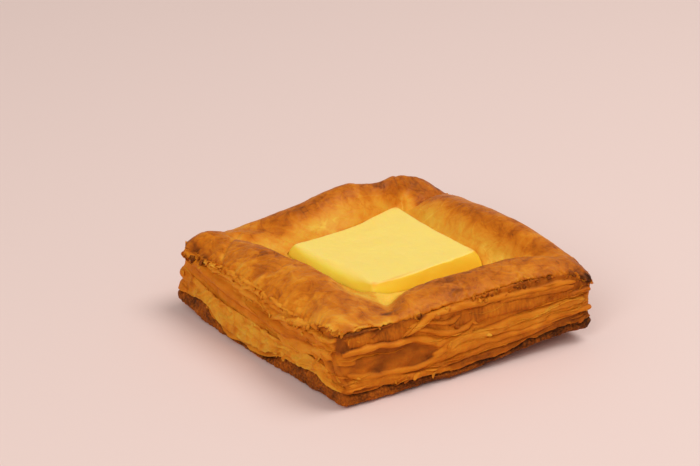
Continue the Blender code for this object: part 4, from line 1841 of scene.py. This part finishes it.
@dataclass
class TornFlakes:
    """Small curled flakes along the torn edge of the top sheet and on the sides."""

    top: TopSheet
    sides: DoughSides
    on_edge: int = 260
    on_sides: int = 260
    smallest: float = 0.5
    largest: float = 1.6
    edge_bake: float = 0.56
    seed: int = Seed.FLAKES

    def build(self) -> Object:
        """Scatter the flakes on their carriers.

        Returns:
            The flakes, as one piece.
        """
        tree = Grower("torn_flakes", {"Flatness": 0.13, "Curl": 0.4, "Seed": float(self.seed)})
        chip = tree.node("GeometryNodeMeshUVSphere", {"Segments": 8, "Rings": 5, "Radius": MM})
        size = tree.node("ShaderNodeCombineXYZ", {"X": 1.0, "Y": 0.45, "Z": tree.given["Flatness"]})
        flat = tree.node("GeometryNodeTransform", {"Geometry": chip, "Scale": size})
        spot = tree.node("ShaderNodeSeparateXYZ", {0: tree.node("GeometryNodeInputPosition")})
        along = Value(tree, spot.outputs["X"])
        lift = along * along * tree.given["Curl"] * (1.0 / MM)
        bend = tree.node("ShaderNodeCombineXYZ", {"Z": lift})
        bent = tree.node("GeometryNodeSetPosition", {"Geometry": flat, "Offset": bend})
        strewn = tree.scattered(bent, "Z", (-0.6, -0.6, -3.1), (0.6, 0.6, 3.1))
        return tree.grow(self._carriers(), strewn, LeafFinish("flakes").build())

    def _carriers(self) -> Object:
        """Points that the flakes sit on.

        Returns:
            The carrier, with each point's size, bake and facing.
        """
        draw = np.random.default_rng(self.seed)
        form = self.sides.form
        torn = Grain(Seed.FLAKE_PATCHES)
        places = np.sort(draw.uniform(0.0, SIDES, self.on_edge))
        keep = draw.uniform(size=self.on_edge) < by_place(self.top.ragged, places) * 0.85
        places = places[keep]
        edge = self.top.edge(places)
        away = form.away(places)
        edge[:, :2] -= away * draw.uniform(-0.1, 1.0, len(places))[:, None]
        edge[:, 2] -= draw.uniform(-0.1, 1.3, len(places))
        facing = np.concatenate([away, np.full((len(places), 1), 0.9)], axis=1)
        sites = draw.uniform(0.0, SIDES, self.on_sides)
        levels = draw.uniform(0.9, TOP_LEVEL, self.on_sides)
        patchy = torn.streaks(sites, levels * 5.0, 12.0, 4.0) > -0.15
        free = LeafStrips.room(sites, levels) > 0.35
        sites, levels = sites[patchy & free], levels[patchy & free]
        side = self.sides.at(sites, levels)
        outwards = np.concatenate([form.away(sites), np.full((len(sites), 1), 0.2)], axis=1)
        points = np.concatenate([edge, side.points])
        size = draw.uniform(self.smallest, self.largest, len(points)) ** 1.3
        bake = np.concatenate([np.full(len(places), self.edge_bake), side.values["bake"] - 0.04])
        bake = bake + draw.uniform(-0.15, 0.12, len(points))
        return MeshMaker.lines("torn_flakes", points, np.zeros((0, 2), int),
                               {"size": size, "bake": bake},
                               {"facing": np.concatenate([facing, outwards])})


@dataclass
class TornCurls:
    """Little rolled-up ends of dough along the torn edges.

    Each group of them has a first and a last place, a level and a count.
    """

    top: TopSheet
    sides: DoughSides
    groups: tuple[tuple[float, float, float, int], ...] = (
        (3.03, 3.16, 4.6, 26), (3.16, 3.32, 4.9, 12), (3.36, 3.6, 4.85, 12), (3.68, 3.97, 4.7, 26),
        (0.36, 0.47, 4.2, 5), (0.3, 0.66, 4.95, 16), (0.50, 0.97, 4.9, 22), (1.1, 2.9, 4.9, 26))
    seed: int = Seed.CURLS

    def build(self) -> Object:
        """Set the curls on their carriers.

        Returns:
            The curls, as one piece.
        """
        tree = Grower("torn_curls", {"Sweep": 4.2, "Thickness": 0.22, "Seed": float(self.seed)})
        arc = tree.node("GeometryNodeCurveArc", {"Resolution": 9, "Radius": 0.85 * MM,
                                                 "Sweep Angle": tree.given["Sweep"]})
        ring = tree.node("GeometryNodeCurvePrimitiveCircle", {"Resolution": 5, "Radius": 0.7 * MM})
        slim = tree.node("ShaderNodeCombineXYZ", {"X": tree.given["Thickness"], "Y": 1.0, "Z": 1.0})
        profile = tree.node("GeometryNodeTransform", {"Geometry": ring, "Scale": slim})
        curl = tree.node("GeometryNodeCurveToMesh",
                         {"Curve": arc, "Profile Curve": profile, "Fill Caps": True})
        strewn = tree.scattered(curl, "X", (-1.5, -0.6, -2.2), (1.5, 0.6, 2.2))
        real = tree.node("GeometryNodeRealizeInstances", {0: strewn})
        crumpled = tree.crumpled(real, 1.0 / (1.6 * MM), 0.5 * MM)
        return tree.grow(self._carriers(), crumpled, LeafFinish("curls").build())

    def _carriers(self) -> Object:
        """Points that the curls sit on.

        Returns:
            The carrier, with each point's size, bake and facing.
        """
        draw = np.random.default_rng(self.seed)
        places, levels = [], []
        for first, last, level, count in self.groups:
            places.append(draw.uniform(first, last, count))
            levels.append(level + draw.uniform(-0.12, 0.1, count))
        places, levels = np.concatenate(places), np.minimum(np.concatenate(levels), 4.99)
        side = self.sides.at(places, levels)
        away = self.sides.form.away(places)
        side.points[:, :2] -= away * 0.3
        facing = np.concatenate([away, draw.uniform(-0.3, 0.9, (len(places), 1))], axis=1)
        values = {"size": draw.uniform(0.6, 1.25, len(places)),
                  "bake": side.values["bake"] + draw.uniform(-0.06, 0.2, len(places))
                  + 0.2 * near_place(places, 3.06, 0.14)}
        return MeshMaker.lines("torn_curls", side.points, np.zeros((0, 2), int), values,
                               {"facing": facing})


# ---- Custard ----

@dataclass
class Custard:
    """The block of set custard, soft along its left edge and crisp along the near one."""

    form: DoughForm
    per_side: int = 70
    wall_rows: int = 16
    edge_rows: int = 10
    top_rows: int = 34
    half: float = 25.0
    raised: float = 0.3
    tilt_right: float = 0.25
    tilt_back: float = 0.08
    dish: float = 0.4
    rounding: Keys = keyed({
        0: 0.6, 0.08: 0.4, 0.9: 0.4, 1: 0.4, 1.1: 0.5, 1.9: 0.6, 2: 0.6, 2.9: 0.6, 3: 0.7, 3.15: 2,
        3.5: 2.6, 3.75: 2.8, 3.93: 1})
    toasts: tuple[Spot, ...] = (
        Spot(25.6, 31.8, 1.6, 0.6), Spot(26.2, -15.4, 1.3, 0.8), Spot(-18, -20.8, 1, 0.5),
        Spot(-9, -20.6, 0.6, 0.5, 13, 6),
    )

    def build(self) -> Object:
        """Make the block as one closed solid.

        Returns:
            The block.
        """
        form, grain = self.form, Grain(Seed.CUSTARD)
        places = np.arange(self.per_side * 4) / self.per_side
        rim = form.well(np.full(len(places), form.custard_top), places, 0.0)
        middle = rim.mean(axis=0)
        lean = (rim - middle) / np.linalg.norm(rim - middle, axis=1, keepdims=True)
        points, side = self._rows(places, middle, lean)
        x, y = points[..., 0], points[..., 1]
        floor = points[0, 0, 2]
        level = ease(floor + 2.0, form.custard_top, points[..., 2])
        points[..., 2] += level * self._lift(x, y, middle)
        wobble = 0.3 * grain.lumps(points, 9.0, 2) * side * ease(0.0, 1.0, points[..., 2] - floor)
        points[..., :2] += lean[:, None, :] * wobble[..., None]
        toasted = sum(spot.over(x, y) for spot in self.toasts) * ease(22.0, 24.0, points[..., 2])
        # mask of the left flank that is painted brighter, painted light
        shaded = near_place(places, 3.5, 0.42)[:, None] + 0.0 * side
        values = {"flank": side, "toasted": toasted, "shaded": shaded}
        custard = MeshMaker.loft("custard_block", Patch(points, values), ring=False)
        custard.data.materials.append(CustardFinish().build())
        return custard

    def _rows(self, places: Array, middle: Array,
              lean: Array) -> tuple[Array, Array]:
        """Rows of the block with a level top: underside, wall, rounded edge and top.

        Args:
            places: places, in sides.
            middle: the block's middle in plan.
            lean: directions from there to its rim.

        Returns:
            Points in space, and how far each one is turned to the side, 0 on top and 1 below.
        """
        form, count = self.form, len(places)
        radius = by_place(self.rounding, places, 0.05)
        floor = form.well_floor + 0.5
        foot = form.well(np.full(count, floor), places, 0.0)
        rows, flank = [], []
        for reach in (0.35, 0.7):
            rows.append((middle + (foot - middle) * reach, np.full(count, floor)))
            flank.append(1.0)
        for share in np.arange(self.wall_rows) / self.wall_rows:
            height = floor + (form.custard_top - radius - floor) * share
            rows.append((form.well(height, places, 0.0), height))
            flank.append(1.0)
        for share in np.arange(self.edge_rows) / self.edge_rows:
            sine, cosine = math.sin(0.5 * math.pi * share), math.cos(0.5 * math.pi * share)
            height = form.custard_top - radius * (1.0 - sine)
            plan = form.well(height, places, 0.0) - lean * (radius * (1.0 - cosine))[:, None]
            rows.append((plan, height))
            flank.append(1.0 - sine)
        inner = rows[-1][0]
        for share in np.arange(1, self.top_rows) / self.top_rows:
            plan = middle + (inner - middle) * (1.0 - share)
            rows.append((plan, np.full(count, form.custard_top)))
            flank.append(0.0)
        points = np.stack([np.column_stack([plan, height])
                           for plan, height in rows], axis=1)
        return points, np.tile(flank, (count, 1))

    def _lift(self, x: Array, y: Array, middle: Array) -> Array:
        """How far the top stands over a level one: tilted, dished and a little uneven.

        Args:
            x: places in plan, to the right.
            y: places in plan, to the back.
            middle: the block's middle in plan.

        Returns:
            Lifts in mm.
        """
        grain = Grain(Seed.CUSTARD)
        across, back = (x - middle[0]) / self.half, (y - middle[1]) / self.half
        flat = np.stack([x, y, 0.0 * x], axis=-1)
        hollow = np.clip(1.0 - across ** 2, 0, 1) * np.clip(1.0 - back ** 2, 0, 1)
        lift = self.raised + self.tilt_right * across + self.tilt_back * back - self.dish * hollow
        return lift + 0.28 * grain.lumps(flat, 13.0, 2) + 0.05 * grain.lumps(flat, 2.5, 2)


# ---- Studio ----

@dataclass
class Lamp:
    """A soft round lamp that faces the pastry: its place and size in metres, power in watts."""

    name: str
    place: tuple[float, float, float]
    size: float
    power: float

    def build(self) -> None:
        """Hang the lamp."""
        data = bpy.data.lights.new(self.name, "AREA")
        data.shape = "DISK"
        data.size = self.size
        data.energy = self.power
        aim(placed(self.name, data), Vector(self.place), -Vector(self.place))


@dataclass
class Studio:
    """Pale floor, soft light and the camera."""

    azimuth: float = -33.2
    elevation: float = 23.0
    distance: float = 0.9
    lens: float = 135.0
    sensor: float = 36.0
    width: int = 700
    target: tuple[float, float, float] = (0.0, 0.0, 15.0)
    target_across: float = 35.0      # the target lands this far right of the view's middle
    target_down: float = 46.0        # and this far below it
    floor_colour: Colour = (0.86, 0.66, 0.60)
    floor_reach: float = 3.0
    surround: Colour = (1.0, 0.96, 0.93)
    surround_strength: float = 0.415
    lamps: tuple[Lamp, ...] = (Lamp("key", (0.52, -0.20, 1.12), 0.85, 7.8),
                               Lamp("fill", (-1.0, -0.74, 0.80), 0.75, 7.5))

    def build(self) -> None:
        """Set up camera, lights and floor."""
        self._camera()
        self._lights()
        self._floor()
        bpy.context.scene.view_settings.view_transform = "Standard"

    def _camera(self) -> None:
        """Camera that sees the pastry a little right of and below the middle."""
        turn, tip = math.radians(self.azimuth), math.radians(self.elevation)
        forward = Vector((-math.sin(turn) * math.cos(tip), math.cos(turn) * math.cos(tip),
                          -math.sin(tip)))
        target = Vector([(self.target[axis] + FRAME_SHIFT[axis]) * MM for axis in range(3)])
        data = bpy.data.cameras.new("view")
        data.lens = self.lens
        data.sensor_width = self.sensor
        data.shift_x = -self.target_across / self.width
        data.shift_y = self.target_down / self.width
        data.clip_start, data.clip_end = 0.01, 20.0
        camera = placed("view", data)
        aim(camera, target - forward * self.distance, forward)
        bpy.context.scene.camera = camera

    def _lights(self) -> None:
        """The lamps and a pale surround."""
        world = bpy.data.worlds.new("surround")
        world.use_nodes = True
        background = world.node_tree.nodes["Background"]
        background.inputs["Color"].default_value = (*self.surround, 1.0)
        background.inputs["Strength"].default_value = self.surround_strength
        bpy.context.scene.world = world
        for lamp in self.lamps:
            lamp.build()

    def _floor(self) -> None:
        """The plain pale table."""
        mesh = bpy.data.meshes.new("table")
        signs = ((-1, -1), (1, -1), (1, 1), (-1, 1))
        corners = [(x * self.floor_reach, y * self.floor_reach, 0.0) for x, y in signs]
        mesh.from_pydata(corners, [], [(0, 1, 2, 3)])
        table = placed("table", mesh)
        shade = Shade("pale_table")
        mesh.materials.append(shade.finish(Base_Color=self.floor_colour, Roughness=0.7))


# ---- Assembly ----

class Node(Enum):
    """Solids of the construction that the pieces stand for."""

    PASTRY = "pastry"
    CUSTARD = "custard"


class Slot(Enum):
    """Material slots of the record."""

    CRUST = "baked_crust"
    CUSTARD = "set_custard"


def settle(piece: Object, node: Node) -> None:
    """Fix a finished piece to the part's body and hide the solid that it stands for.

    Args:
        piece: the piece.
        node: solid that it replaces.
    """
    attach(piece, "root")
    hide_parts(node.value)
    piece.data.calc_loop_triangles()
    LOG.info("%s: %d triangles", piece.name, len(piece.data.loop_triangles))


def left_sheet(sides: DoughSides) -> DrapedSheet:
    """The blistered sheet hanging over the base on the left, pale partly by painted light.

    Args:
        sides: the sides that it hangs on.

    Returns:
        The sheet, still to be built.
    """
    return DrapedSheet(
        "left_sheet", sides, 3.03, 4.0,
        upper={3: 15.6, 3.2: 12.6, 3.4: 11.4, 3.7: 11.4, 3.9: 12.8, 3.99: 11},
        lower={3.017: 6.6, 3.1: 8.2, 3.158: 8.8, 3.207: 8, 3.24: 5.8, 3.29: 4.2, 3.33: 3.7, 3.45: 3.5,
               3.52: 4, 3.544: 3.5, 3.6: 5.6, 3.67: 5.8, 3.75: 6.6, 3.82: 7.8, 3.88: 8.8, 3.907: 7.6,
               3.94: 6.4, 3.99: 6.2},
        stand={3: 0.6, 3.2: 1, 3.5: 1.2, 3.8: 1.2, 3.95: 1.6},
        # pale bake: the dough's own lighter bake plus painted light on the left face
        bake={3: 0.48, 3.15: 0.44, 3.3: 0.36, 3.7: 0.34, 3.95: 0.44}, folds=SHEET_FOLDS)


def main() -> None:
    """Build the pastry and its studio."""
    logging.basicConfig(level=logging.INFO, format="%(name)s: %(message)s")
    Studio().build()
    form = DoughForm()
    top, sides = TopSheet(form), DoughSides(form)
    settle(top.build(), Node.PASTRY)
    for piece in LayeredBody(sides).build():
        settle(piece, Node.PASTRY)
    settle(LeafStrips(sides).build(), Node.PASTRY)
    settle(TornFlakes(top, sides).build(), Node.PASTRY)
    settle(TornCurls(top, sides).build(), Node.PASTRY)
    settle(left_sheet(sides).build(LeafFinish("draped_dough").build()), Node.PASTRY)
    settle(Custard(form).build(), Node.CUSTARD)


if __name__ == "__main__":
    main()
